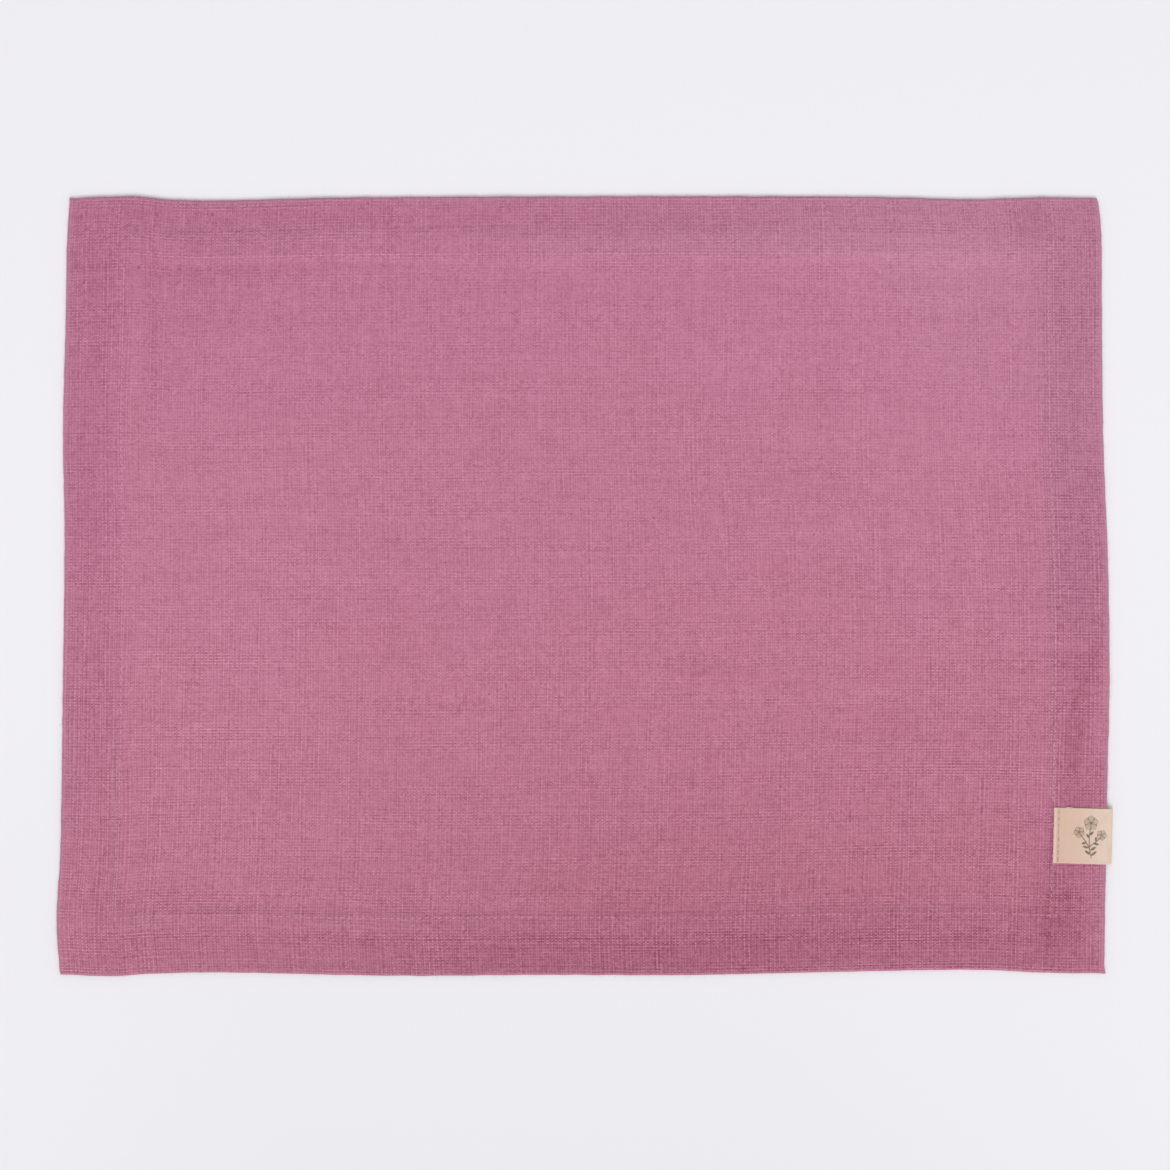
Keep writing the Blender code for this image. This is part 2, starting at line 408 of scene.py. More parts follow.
def cloth_top(x, y):
    """The height of the cloth's face over the table."""
    step = hem_face(x, y) + ROLL_RISE * edge_roll(x, y) - TWO_LAYER_SINK * two_layers(x, y)
    relief = bells(FOLDS, x, y) * MM + unevenness(x, y) + PUCKER_RISE * seam_puckers(x, y)
    return step + relief + label_lift(x, y) - FURROW_DEPTH * seam_groove(x, y)


sample = cloth_top(np.array([0.0, 0.22]), np.array([0.0, LABEL_MIDDLE[1]]))
print("face at %.2f mm in the middle, %.2f mm over the label's back leg" % tuple(sample / MM))

# %% [markdown]
# ## Painted light and shade
#
# Light and shade on the laid cloth are painted into its colour. Where the hem has two layers it
# is painted darker than where it has three, as painted shade. Soft folds get a painted darker
# trough or a paler ridge, one side of the mat lies in a little painted shade, and a painted shadow
# runs along the label's left edge. All of it is one number for each point: below 0 is darker, above
# 0 is lighter.

# %% Painted shade and light of the hems and the folds
# Columns: painted shade from the edge to the turned-in strip, painted shade over the strip
HEM_SHADES = {
    "left": (-0.075, -0.03), "right": (-0.105, -0.065),
    "top": (-0.08, 0.00), "bottom": (-0.10, -0.04),
}
# Columns: x, y, half length, half width (mm), turn from +X (degrees), painted light above 0, shade below 0
LIGHT_AND_SHADE_BELLS = np.array([
    # painted shade on the near side
    (40, -185, 130, 70, 0, -0.15),
    (110, -190, 200, 100, 0, -0.10),
    # a faint painted haze of light towards the upper right
    (150, 95, 130, 90, 0, 0.035),
    (-205, 150, 60, 40, 0, -0.07),
    (150, 156, 60, 14, 0, 0.04),
    (203, 160, 12, 18, 0, -0.08),
    (-160, -30, 110, 60, 90, 0.07),
    (214, 30, 140, 24, 90, -0.06),
    # painted shade and highlight of the right hem's relief, and a painted dark line at its seam
    (212, -148, 26, 10, 90, -0.15),
    (231.5, -150, 24, 4.5, 90, 0.16),
    (209.3, -156, 13, 1.5, 91, -0.16),
    # a painted shadow along the label's left edge
    (210.4, -112.8, 16, 0.7, 88.5, -0.30),
    (-231, -150, 38, 11, 90, 0.08),
    (-200, -143, 40, 9, 0, -0.06),
    (45, -152, 55, 7, 0, 0.07),
    (225.5, -40, 15, 2.4, 69.7, -0.17),
    (219.8, -67, 18, 3.6, 84.8, -0.15),
    (231, -62, 28, 3.2, 86, 0.14),
    (-195, 110, 28, 2.8, 90, -0.10),
    (-203, 108, 30, 4.0, 90, 0.06),
    (-150, 143.5, 60, 3.2, 0, -0.08),
    (-228, 60, 45, 9, 90, -0.05),
    (-128, -39, 30, 2.4, 0, -0.06),
    (-120, 22, 60, 3.0, 0, -0.04),
])


def cloth_light_and_shade(x, y):
    """Painted light and shade: each hem's painted shade steps from that of two layers to that of
    three and ends at its seam, the strongest side counts, and the bells of painted light and shade
    of the folds are added."""
    hem_shades = []
    for side, inside in inside_of(x, y).items():
        outer, inner = HEM_SHADES[side]
        strip = ease((inside - STRIP_STARTS[side]) / STRIP_STEP + 0.5)
        within = 1 - ease((inside - HEMS[side]) / (3.0 * MM) + 0.5)
        hem_shades.append((outer + (inner - outer) * strip) * within)
    deepest = np.minimum.reduce(hem_shades)
    return np.where(deepest < -0.001, deepest, np.maximum.reduce(hem_shades)) + bells(LIGHT_AND_SHADE_BELLS, x, y)


sample = cloth_light_and_shade(np.array([0.0, -0.225]), np.array([0.0, 0.0]))
print("tone %.2f in the middle, %.2f on the left hem" % tuple(sample))

# %% [markdown]
# Single threads don't show equally well everywhere. They are clearest on the hem and towards the
# near side, and in the places where the iron did not press the weave flat. That is a second number
# for each point, which the linen's finish reads as crispness.

# %% Where single threads show
# Columns: x, y, half length, half width (mm), turn from +X (degrees), share
CRISP_PLACES = np.array([
    (172, -65, 85, 42, 90, 0.38),
    (-170, -75, 90, 40, 90, 0.26),
    (-135, 35, 55, 30, 90, 0.16),
])
HEM_CRISPNESS = 0.2
NEAR_CRISPNESS = 0.9


def crispness(x, y):
    """How clearly single threads show: 1 on the whole, more on the hem, at the near side and in the
    places of the table, less at the far side."""
    return 1 + HEM_CRISPNESS * hem_share(x, y) - NEAR_CRISPNESS * y + bells(CRISP_PLACES, x, y)


sample = crispness(np.array([0.0, 0.0]), np.array([0.14, -0.14]))
print("crispness %.2f at the far side, %.2f at the near side" % tuple(sample))

# %% [markdown]
# ## From arrays to a mesh
#
# Every piece below is worked out as whole arrays: one array of points, one of four-cornered faces,
# and for cloth one of weave coordinates, which say where on the loom each corner was. This helper
# hands them to Blender and ties the piece to the mat's body.

# %% A helper that turns arrays into a riding piece
def add_object(name, data):
    """An object that holds the data, put into the scene."""
    thing = bpy.data.objects.new(name, data)
    bpy.context.scene.collection.objects.link(thing)
    return thing


def make_piece(name, points, faces, weave=None, values=None):
    """A smooth-shaded mesh from points (n x 3) and faces (arrays or lists of corner numbers).
    weave has two coordinates for each face corner, and values is a dict of one number a point."""
    mesh = bpy.data.meshes.new(name)
    mesh.from_pydata(points.tolist(), [], [list(face) for face in faces])
    if weave is not None:
        layer = mesh.uv_layers.new(name="weave")
        layer.data.foreach_set("uv", np.ascontiguousarray(weave, dtype=np.float32).ravel())
    for value_name, numbers in (values or {}).items():
        attribute = mesh.attributes.new(value_name, "FLOAT", "POINT")
        attribute.data.foreach_set("value", np.ascontiguousarray(numbers, dtype=np.float32).ravel())
    mesh.polygons.foreach_set("use_smooth", np.ones(len(mesh.polygons), dtype=bool))
    mesh.update()
    piece = add_object(name, mesh)
    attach(piece, "root")
    print(name, len(points), "points,", len(faces), "faces")
    return piece


# %% [markdown]
# Both cloths are surfaces first: a grid of points with no thickness. The numbers of a grid face's
# corners follow from its row and column. A Solidify modifier then adds the thickness behind the
# face, so what is drawn above stays the outside.

# %% Grids and their thickness
def grid_faces(rows, columns):
    """Four-cornered faces of a grid of points numbered along its rows."""
    corner = np.arange(rows - 1)[:, None] * columns + np.arange(columns - 1)[None, :]
    return np.stack([corner, corner + 1, corner + columns + 1, corner + columns], axis=-1).reshape(-1, 4)


def thicken(piece, name, thickness):
    """Gives a surface its thickness, all of it behind the face."""
    solidify = piece.modifiers.new(name, "SOLIDIFY")
    solidify.thickness = thickness
    solidify.offset = -1


print("a grid of 3 by 3 points has", len(grid_faces(3, 3)), "faces")

# %% [markdown]
# ## The cloth
#
# The face of the mat is a grid of two parameters, x and y, raised to the height worked out above.
# Its lines crowd together at the seams, where the shape changes fast, and lie further apart
# elsewhere, so no faces are wasted on plain cloth.

# %% Grid lines for the face
EDGE_BEND = HEM_HEIGHT / 2
GRID_STEP = 2.7 * MM
SEAM_LINES = np.array([-3.2, -2.2, -1.4, -0.7, 0, 0.7, 1.4, 2.2, 3.0, 4.0]) * MM
RIM_LINES = np.array([0, 0.8, 1.7, 3.0]) * MM


def grid_lines(half, low_seam, high_seam):
    """Lines from edge to edge, no more than a step apart, with extra ones across each seam."""
    rim_lines = half - EDGE_BEND - RIM_LINES
    fixed = np.concatenate([-rim_lines, low_seam - SEAM_LINES[::-1], high_seam + SEAM_LINES, rim_lines])
    fixed.sort()
    lines = [fixed[:1]]
    for low, high in zip(fixed[:-1], fixed[1:]):
        parts = max(1, math.ceil((high - low) / GRID_STEP))
        lines.append(low + (high - low) * np.arange(1, parts + 1) / parts)
    return np.concatenate(lines)


x_lines = grid_lines(MAT_LENGTH / 2, SEAMS["left"], SEAMS["right"])
y_lines = grid_lines(MAT_DEPTH / 2, SEAMS["bottom"], SEAMS["top"])
grid_x, grid_y = (part.ravel() for part in np.meshgrid(x_lines, y_lines))
grid_top = cloth_top(grid_x, grid_y)
print("grid of", len(x_lines), "by", len(y_lines), "lines")

# %% [markdown]
# The hem is a profile carried round the mat's edge: a half circle round the edge, a run back
# underneath, a tight turn at the hem's inner edge, and the turned-in strip. The thread pulls a
# groove into the underside too. The profile is three numbers a step: how far in from the edge, how
# high, and how much cloth has been used up to there. The last one keeps the weave running unbroken
# round the edge.

# %% The hem's profile
TURN_BEND = LAYER + LAYER_GAP / 2
UNDER_GROOVE = 0.22 * MM
UNDER_GROOVE_WIDTH = 1.2 * MM


def hem_profile(width, turn_in):
    """The profile of one hem: inset from the edge, share of the face's height (only round the
    edge), plain height, and length of cloth used, each an array with one number a step."""
    round_edge = np.linspace(0, math.pi, 9)[1:]
    under = np.linspace(EDGE_BEND, width - TURN_BEND, 11)[1:]
    round_turn = np.linspace(-math.pi / 2, math.pi / 2, 6)[1:]
    inside = np.linspace(width - TURN_BEND, width - turn_in, 5)[1:]
    groove = UNDER_GROOVE * bell(width - STITCH_INSET - under, UNDER_GROOVE_WIDTH)
    inset = np.concatenate([
        EDGE_BEND - EDGE_BEND * np.sin(round_edge), under,
        width - TURN_BEND + TURN_BEND * np.cos(round_turn), inside,
    ])
    share = np.zeros_like(inset)
    share[:len(round_edge)] = 0.5 + 0.5 * np.cos(round_edge)
    plain = np.concatenate([
        0 * round_edge, groove, TURN_BEND + TURN_BEND * np.sin(round_turn), 0 * inside + 2 * TURN_BEND,
    ])
    height = share * HEM_HEIGHT + plain
    steps = np.hypot(np.diff(inset, prepend=EDGE_BEND), np.diff(height, prepend=HEM_HEIGHT))
    return inset, share, plain, np.cumsum(steps)


profiles = {side: hem_profile(HEMS[side], TURN_INS[side]) for side in HEMS}
print("hem profile of", len(profiles["left"][0]), "steps")

# %% [markdown]
# The rim of the face grid is walked once round, and at each step of the profile the same walk is
# made round a smaller rectangle. Each of these rings is one row of the hem, so the four hems meet
# in mitred corners by themselves.

# %% The rings of the hem
def rim_order(columns, rows):
    """The numbers of a grid's outer points, once round against the clock."""
    bottom = np.arange(columns - 1)
    right = (np.arange(rows - 1) + 1) * columns - 1
    top = rows * columns - 1 - np.arange(columns - 1)
    left = (rows - 1 - np.arange(rows - 1)) * columns
    return np.concatenate([bottom, right, top, left])


rim = rim_order(len(x_lines), len(y_lines))


def hem_rings():
    """Points of the true rectangle with their heights, one ring for each step of the profile. The
    height goes from the face's to the table's round the edge, and the label's back leg lifts it."""
    across = (grid_x[rim] - x_lines[0]) / (x_lines[-1] - x_lines[0])
    up = (grid_y[rim] - y_lines[0]) / (y_lines[-1] - y_lines[0])
    rings = []
    for step in range(len(profiles["left"][0])):
        inset = {side: profile[0][step] for side, profile in profiles.items()}
        low_x, high_x = inset["left"] - MAT_LENGTH / 2, MAT_LENGTH / 2 - inset["right"]
        low_y, high_y = inset["bottom"] - MAT_DEPTH / 2, MAT_DEPTH / 2 - inset["top"]
        x, y = low_x + across * (high_x - low_x), low_y + up * (high_y - low_y)
        share, plain = profiles["left"][1][step], profiles["left"][2][step]
        height = share * grid_top[rim] + (1 - share) * label_lift(x, y) + plain
        rings.append(np.stack([x, y, height], axis=-1))
    return np.stack(rings)


rings = hem_rings()
print("hem of", len(rings), "rings of", len(rim), "points")

# %% [markdown]
# Faces join each ring to the next, the first one to the rim of the grid. Weave coordinates belong to
# face corners rather than to points, because at a mitre two hems meet that lay far apart on the
# loom. Past the rim they go on outwards by the length of cloth that the profile has used.

# %% Faces and weave coordinates of the hem
def hem_weave(place):
    """Faces of the hem and, for each of their corners, its place on the flat cloth."""
    columns, rows = len(x_lines), len(y_lines)
    hem_numbers = columns * rows + np.arange(rings[..., 0].size).reshape(-1, len(rim))
    order = np.concatenate([rim[None, :], hem_numbers])
    following = np.roll(order, -1, axis=1)
    faces = np.stack([following[:-1], order[:-1], order[1:], following[1:]], axis=-1)
    sides = np.repeat(["bottom", "right", "top", "left"], [columns - 1, rows - 1] * 2)
    weave = place[faces]
    for side, sign, axis, line in (
        ("bottom", -1, 1, y_lines[0]), ("right", 1, 0, x_lines[-1]),
        ("top", 1, 1, y_lines[-1]), ("left", -1, 0, x_lines[0]),
    ):
        used = np.concatenate([[0], profiles[side][3]])
        before, after = used[:-1], used[1:]
        part = np.flatnonzero(sides == side)
        weave[:, part, :, axis] = (line + sign * np.stack([before, before, after, after], axis=-1))[None]
    return faces.reshape(-1, 4), weave.reshape(-1, 4, 2)


flat = np.stack([grid_x, grid_y], axis=-1)
place = np.concatenate([flat, rings[..., :2].reshape(-1, 2)])
face_faces = grid_faces(len(y_lines), len(x_lines))
hem_faces, hem_corners = hem_weave(place)
print(len(face_faces), "faces on the face,", len(hem_faces), "on the hem")

# %% [markdown]
# The fold at the edge is painted paler and greyer, as light on the rolled edge, most of all on the
# short sides. That painted rim light is one more number a point. The four numbers that the finish
# needs are worked out on the face, and the hem takes one value each, or the painted light of its rim.

# %% Painted light at the rim, and the cloth as one piece
# each side's share of painted light on the rolled edge
RIM_LIGHT_SHARES = {"left": 1.0, "right": 1.0, "top": 0.7, "bottom": 0.35}
RIM_REACH = 2.6 * MM
UNDER_TONE = -0.06


def painted_rim_light():
    """Each side's share of painted light at its edge, falling evenly to none at the reach."""
    rim_light = np.zeros_like(grid_x)
    for side, inside in inside_of(grid_x, grid_y).items():
        rim_light = np.maximum(rim_light, RIM_LIGHT_SHARES[side] * np.clip(1 - inside / RIM_REACH, 0, 1))
    return np.concatenate([rim_light, np.tile(rim_light[rim], len(rings))])


def with_hem(face_values, hem_value):
    """One number for each point of the face, and the same number all over the hem."""
    return np.concatenate([face_values, np.full(rings[..., 0].size, hem_value)])


def build_sheet():
    """The whole cloth as one surface, carried to where it really lies."""
    x, y = true_place(place[:, 0], place[:, 1])
    z = np.concatenate([grid_top, rings[..., 2].ravel()])
    return make_piece(
        "linen_cloth", np.stack([x, y, z], axis=-1),
        np.concatenate([face_faces, hem_faces]), np.concatenate([flat[face_faces], hem_corners]),
        {
            # tone carries the painted light and shade of the hems and folds
            "tone": with_hem(cloth_light_and_shade(grid_x, grid_y), UNDER_TONE),
            "crisp": with_hem(crispness(grid_x, grid_y), 1.0),
            "hem": with_hem(hem_share(grid_x, grid_y), 1.0),
            "rim": painted_rim_light(),
        },
    )


cloth = build_sheet()
thicken(cloth, "cloth thickness", LAYER)
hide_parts("linen_mat")

# %% [markdown]
# ## The ribbon label
#
# The label is a strip of natural ribbon, printed with a small flax sprig. It has a front leg that
# follows the hem's height, a half circle past the mat's edge and a back leg on the table. Every
# point across the ribbon has a path of its own, so the strip takes up the hem's unevenness. The
# front leg comes first: ribbon is stiffer than linen, so it follows the folds and the step of the
# hem but bridges the seam and its ripples. Its woven selvedges are a little thicker.

# %% The front leg
LABEL_STEP = 0.20 * MM
LABEL_SINK = 0.36 * MM
SAG = 0.06 * MM
FRAYING = 0.11 * MM
SELVEDGE = 0.07 * MM
ribbon_across = np.linspace(-LABEL_WIDTH / 2, LABEL_WIDTH / 2, round(LABEL_WIDTH / LABEL_STEP) + 1)


def turned(x, across):
    """A grid of points on the label, from places along x and across it, turned as the label is."""
    along = x - LABEL_MIDDLE[0]
    cos, sin = math.cos(LABEL_TURN), math.sin(LABEL_TURN)
    return LABEL_MIDDLE[0] + along * cos - across * sin, LABEL_MIDDLE[1] + along * sin + across * cos


def front_leg(end):
    """From the frayed end to where the bend starts: the hem's height, without seams, plus a sag."""
    along = np.linspace(LABEL_LEFT, end, round((end - LABEL_LEFT) / LABEL_STEP) + 1)
    frayed = FRAYING * waves(73, ribbon_across, (1 * MM, 5 * MM), 9)
    fading = np.exp(-(along - LABEL_LEFT) / (1.2 * MM))
    x, y = turned(along[:, None] + frayed * fading[:, None], ribbon_across[None, :])
    cloth_under = hem_face(x, y) + bells(FOLDS, x, y) * MM + label_lift(x, y) - LABEL_SINK * two_layers(x, y)
    sag = SAG * waves(71, x + 0.4 * y, (7 * MM, 26 * MM), 8)
    selvedge = SELVEDGE * bell(np.abs(ribbon_across) - LABEL_WIDTH / 2 + 0.5 * MM, 0.45 * MM)
    return x, y, cloth_under + LABEL_AIR + RIBBON + sag + selvedge


print("front leg with", len(ribbon_across), "points across")

# %% [markdown]
# The bend starts where a half circle of the right size just reaches the label's outer end. Its
# height is the gap to bridge, from the front leg's down to the table, and the back leg lies flat
# from there to its hidden end.

# %% The whole path of the ribbon
BEND_STEPS = 16
BACK_STEPS = 13
BEND_EASE = 0.2 * MM


def ribbon_surface():
    """Points of the ribbon's outer face, and the length along it. Rows run down the front leg,
    round the bend and back under. Columns run over its width."""
    radius = (HEM_HEIGHT + 2 * (RIBBON + LABEL_AIR)) / 2 + BEND_EASE
    bend_start = LABEL_RIGHT - radius
    front = front_leg(bend_start)
    angle = np.linspace(0, math.pi, BEND_STEPS + 1)[1:]
    bend_x, bend_y = turned((bend_start + radius * np.sin(angle))[:, None], ribbon_across[None, :])
    bend_z = (0.5 + 0.5 * np.cos(angle))[:, None] * front[2][-1][None, :]
    back = np.linspace(bend_start, LABEL_BACK_LEFT, BACK_STEPS + 1)[1:]
    back_x, back_y = turned(back[:, None], ribbon_across[None, :])
    legs = front, (bend_x, bend_y, bend_z), (back_x, back_y, np.zeros_like(back_x))
    x, y, z = (np.concatenate(part) for part in zip(*legs))
    steps = np.hypot(np.diff(x[:, 0], prepend=x[0, 0]), np.diff(z[:, 0], prepend=z[0, 0]))
    return np.stack([x, y, z], axis=-1), np.cumsum(steps)


ribbon_points, ribbon_along = ribbon_surface()
print("ribbon is %.1f mm long, %d by %d points" % (ribbon_along[-1] / MM, *ribbon_points.shape[:2]))

# %% [markdown]
# The sprig is three stems of flax with a five-petalled flower on each. Short tables hold where each
# part starts and how it points. They are in millimetres from the sprig's middle.

# %% The sprig's tables
SPRIG_MIDDLE = (16.5, -0.3)
# Columns: start x, y, bend x, y, end x, y (mm)
STEMS = (
    (0.6, -9.4, -1.2, -2.0, 0.2, 4.6),
    (0.1, -6.6, -0.9, -2.8, -4.5, 0.8),
    (-0.2, -4.4, 1.8, -2.8, 4.6, -0.4),
)
# Columns: middle x, y, petal length (mm), turn (degrees)
FLOWERS = ((0.2, 6.2, 3.3, 90), (-5.0, 2.0, 2.5, 118), (5.1, 0.9, 2.3, 66))
# Columns: root x, y (mm), direction (degrees), length (mm)
LEAVES = (
    (0.4, -8.6, 40, 3.6), (0.3, -8.0, 146, 3.4), (0.1, -6.2, 34, 3.4),
    (-0.6, -5.0, 166, 3.0), (1.6, -2.9, -12, 2.6), (-1.7, -2.6, 196, 2.4),
    (-0.3, -0.6, 128, 2.6), (-0.3, 0.6, 48, 2.8), (2.6, -2.0, 92, 2.2),
)
print("sprig of", len(STEMS), "stems,", len(LEAVES), "leaves and", len(FLOWERS), "flowers")

# %% [markdown]
# It is drawn by distance: a point is inked where it is nearer to a stem, a leaf or a petal than that
# part is thick. A leaf or petal is a lens shape, and a stem is a bent line. The ink is one number
# for each point of the fine ribbon grid.

# %% Ink for the printed sprig
STEM_HALF = 0.24
LEAF_HALF = 0.58
OUTLINE_HALF = 0.15
PETALS = 5
PETAL_WASH = 0.35


def lens(x, y, root_x, root_y, direction, length, half_width, fullness):
    """How far outside a leaf a point is, less than 0 inside. The leaf's half width along its length,
    t from 0 to 1, is half width * sin(pi * t^fullness)."""
    cos, sin = math.cos(math.radians(direction)), math.sin(math.radians(direction))
    along, across = (x - root_x) * cos + (y - root_y) * sin, (y - root_y) * cos - (x - root_x) * sin
    width = half_width * np.sin(math.pi * np.clip(along / length, 0, 1) ** fullness)
    return np.maximum(np.abs(across) - width, np.maximum(-along, along - length))


def inked(distance, softness=0.16):
    """1 inside a shape and 0 outside it, softened as ink creeps into thread."""
    return 1 - ease(distance / softness + 0.5)


def stem_distance(x, y, start_x, start_y, bend_x, bend_y, end_x, end_y):
    """The distance to a bent line: start (1-t)^2 + bend 2t(1-t) + end t^2, at 40 places t."""
    t = np.linspace(0, 1, 40)
    stem_x = (1 - t) ** 2 * start_x + 2 * t * (1 - t) * bend_x + t**2 * end_x
    stem_y = (1 - t) ** 2 * start_y + 2 * t * (1 - t) * bend_y + t**2 * end_y
    return np.hypot(x[..., None] - stem_x, y[..., None] - stem_y).min(axis=-1)


def sprig_ink(along, across):
    """0 to 1: how much ink a point of the ribbon holds. A petal has an outline, a pale wash and a
    vein, and each flower has a solid middle."""
    x, y = along / MM - SPRIG_MIDDLE[0], across / MM - SPRIG_MIDDLE[1]
    inks = [inked(stem_distance(x, y, *stem) - STEM_HALF) for stem in STEMS]
    inks += [inked(lens(x, y, *leaf, LEAF_HALF, 0.9)) for leaf in LEAVES]
    for middle_x, middle_y, size, turn in FLOWERS:
        for direction in turn + 360 / PETALS * np.arange(PETALS):
            petal = lens(x, y, middle_x, middle_y, direction, size, 0.46 * size, 1.5)
            vein = lens(x, y, middle_x, middle_y, direction, 0.7 * size, 0.10, 0.8)
            inks += [inked(np.abs(petal) - OUTLINE_HALF), PETAL_WASH * inked(petal), inked(vein)]
        inks.append(inked(np.hypot(x - middle_x, y - middle_y) - 0.2 * size))
    return np.maximum.reduce(inks)


along, across = np.meshgrid(ribbon_along, ribbon_across, indexing="ij")
ink = sprig_ink(along, across)
print("ink on %.1f%% of the ribbon" % (100 * ink.mean()))

# %% [markdown]
# The cut end is raw for most of a millimetre, and the near selvedge shows a little of the same
# colour. Across the front leg, two millimetres from its end, the sewing presses the ribbon down in
# small regular marks, painted in as shade. Both are numbers for each point, like the ink.

# %% The label as one piece
LABEL_SEAM = 2.0 * MM
SEWN_PITCH = 1.45 * MM


def build_label():
    """The ribbon as one strip, with weave coordinates along and across it, its ink, how raw it is
    at the cut end and the near selvedge, and the painted shade where the sewing presses it down."""
    faces = grid_faces(*ribbon_points.shape[:2])[:, ::-1]
    strip = np.stack([along.ravel(), across.ravel()], axis=-1)
    reach = (0.80 + 0.20 * waves(74, across, (1.5 * MM, 8 * MM), 9) - across * 12) * MM
    raw = 1 - ease((along - reach) / (0.5 * MM))
    raw = np.maximum(raw, 0.35 * bell(across + LABEL_WIDTH / 2, 0.7 * MM))
    # painted shade of the sewing's dents
    marks = 0.65 + 0.35 * np.cos(2 * math.pi * across / SEWN_PITCH)
    stitch_shade = marks * bell(along - LABEL_SEAM, 0.75 * MM)
    return make_piece(
        "ribbon_label_cloth", ribbon_points.reshape(-1, 3), faces, strip[faces],
        {"ink": ink.ravel(), "raw": raw.ravel(), "stitch_shade": stitch_shade.ravel()},
    )


label = build_label()
thicken(label, "ribbon thickness", RIBBON)
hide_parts("ribbon_label")

# %% [markdown]
# ## Stitches
#
# A lockstitch shows as a row of short thread arcs that dive into the cloth at both ends. One arc
# is a short tube of two parameters, along and around, and the whole seam is that tube repeated by
# adding and turning whole arrays. The fibres below are tubes too, so their faces share one helper.

# %% The faces of many tubes
def tube_faces(count, rings, sides):
    """Faces of tubes whose points are numbered ring by ring, against the clock as seen from the far
    end: four-cornered ones between rings, and a cap at both ends. All of them point outwards."""
    first_of_ring = np.arange(rings - 1)[:, None] * sides
    corner, beside = first_of_ring + np.arange(sides), first_of_ring + (np.arange(sides) + 1) % sides
    walls = np.stack([corner, beside, beside + sides, corner + sides], axis=-1).reshape(1, -1, 4)
    caps = np.stack([np.arange(sides)[::-1], (rings - 1) * sides + np.arange(sides)])[None]
    first = np.arange(count)[:, None, None] * rings * sides
    return (first + walls).reshape(-1, 4).tolist() + (first + caps).reshape(-1, sides).tolist()


STITCH_RINGS = 7
STITCH_SIDES = 6
print("faces of one stitch:", len(tube_faces(1, STITCH_RINGS, STITCH_SIDES)))

# %% [markdown]
# Along the arc the thread lies flat on the cloth for most of its length and then dives, which the
# fourth power of the place gives. It is squeezed where it enters the cloth, so its ends taper.

# %% Arcs of thread
def stitch_arcs(middles, turns, lengths, radius, rise, dive):
    """Points of tubes along low arcs. Along the arc, t from -1 to 1, the height is
    rise - dive * t^4 and the radius is radius * sqrt(1 - 0.8 t^6). The rise is one number a stitch."""
    t = np.linspace(-1, 1, STITCH_RINGS)
    around = np.arange(STITCH_SIDES) * 2 * math.pi / STITCH_SIDES
    ring = radius * np.sqrt(1 - 0.8 * t**6)
    side = ring[:, None] * np.cos(around)[None, :]
    height = (ring[:, None] * np.sin(around)[None, :] - dive * t[:, None] ** 4)[None] + rise[:, None, None]
    along = t[:, None] * lengths[:, None, None] / 2
    cos, sin = np.cos(turns)[:, None, None], np.sin(turns)[:, None, None]
    x = middles[:, 0, None, None] + along * cos - side[None] * sin
    y = middles[:, 1, None, None] + along * sin + side[None] * cos
    z = middles[:, 2, None, None] + height
    return np.stack([x, y, z], axis=-1).reshape(-1, 3)


def sew(name, *arcs):
    """Rows of stitches as one piece."""
    points = np.concatenate(arcs)
    count = len(points) // (STITCH_RINGS * STITCH_SIDES)
    return make_piece(name, points, tube_faces(count, STITCH_RINGS, STITCH_SIDES))


print("a stitch is", STITCH_RINGS, "rings of", STITCH_SIDES, "points")

# %% [markdown]
# A machine sews a nearly even line, but cloth slips a little under it: the seam drifts slowly, and
# each stitch is a little longer, shorter or more turned than the last. The thread is pulled tighter
# in some seams, so there it all but disappears in its furrow.

# %% The line of a seam
HEM_PITCH = 3.1 * MM
# How high the thread stands in each seam's groove (mm)
STITCH_RISES = {"left": 0.06, "right": 0.09, "bottom": -0.05, "top": 0.01}


def seam_line(side, pitch, seed):
    """Middles, turns and lengths of the stitches of one seam, from end to end."""
    random = np.random.default_rng(seed)
    upright = side in ("left", "right")
    along = np.arange(*SEAM_ENDS[side], pitch)
    along = along + random.uniform(-0.12, 0.12, len(along)) * MM
    drift = 0.18 * MM * waves(seed, along, (30 * MM, 120 * MM), 6) + random.normal(0, 0.04, len(along)) * MM
    line = np.full(len(along), SEAMS[side]) + drift
    x, y = (line, along) if upright else (along, line)
    turns = np.full(len(along), math.pi / 2 if upright else 0.0) + random.normal(0.06, 0.03, len(along))
    lengths = random.uniform(0.74, 0.84, len(along)) * pitch
    return x, y, turns, lengths


print(len(np.arange(*SEAM_ENDS["top"], HEM_PITCH)), "stitches along the top")

# %% [markdown]
# Two threads hold a seam. The upper one lies in the face's furrow and the lower one in the groove
# under the hem, where the same arcs dive upwards. Under the label no thread is drawn, because
# nothing of it shows.

# %% The hem's stitches
THREAD = 0.18 * MM
THREAD_DIVE = 0.30 * MM


def build_hem_stitches():
    """The thread of all four seams, above and below."""
    random = np.random.default_rng(95)
    above, below, turns, lengths, rises = [], [], [], [], []
    for seed, side in enumerate(SEAMS, start=90):
        x, y, turn, length = seam_line(side, HEM_PITCH, seed)
        clear = label_lift(x, y) < 0.5 * RIBBON
        x, y, turn, length = x[clear], y[clear], turn[clear], length[clear]
        there = true_place(x, y)
        above.append(np.stack([*there, cloth_top(x, y)], axis=-1))
        below.append(np.stack([*there, UNDER_GROOVE + label_lift(x, y)], axis=-1))
        turns.append(turn)
        lengths.append(length)
        rises.append((STITCH_RISES[side] + random.normal(0, 0.035, len(x))) * MM)
    above, below, turns, lengths, rises = (
        np.concatenate(part) for part in (above, below, turns, lengths, rises)
    )
    return sew(
        "hem_stitches", stitch_arcs(above, turns, lengths, THREAD, rises, THREAD_DIVE),
        stitch_arcs(below, turns, lengths, THREAD, 0 * rises, -THREAD_DIVE),
    )


hem_stitches = build_hem_stitches()

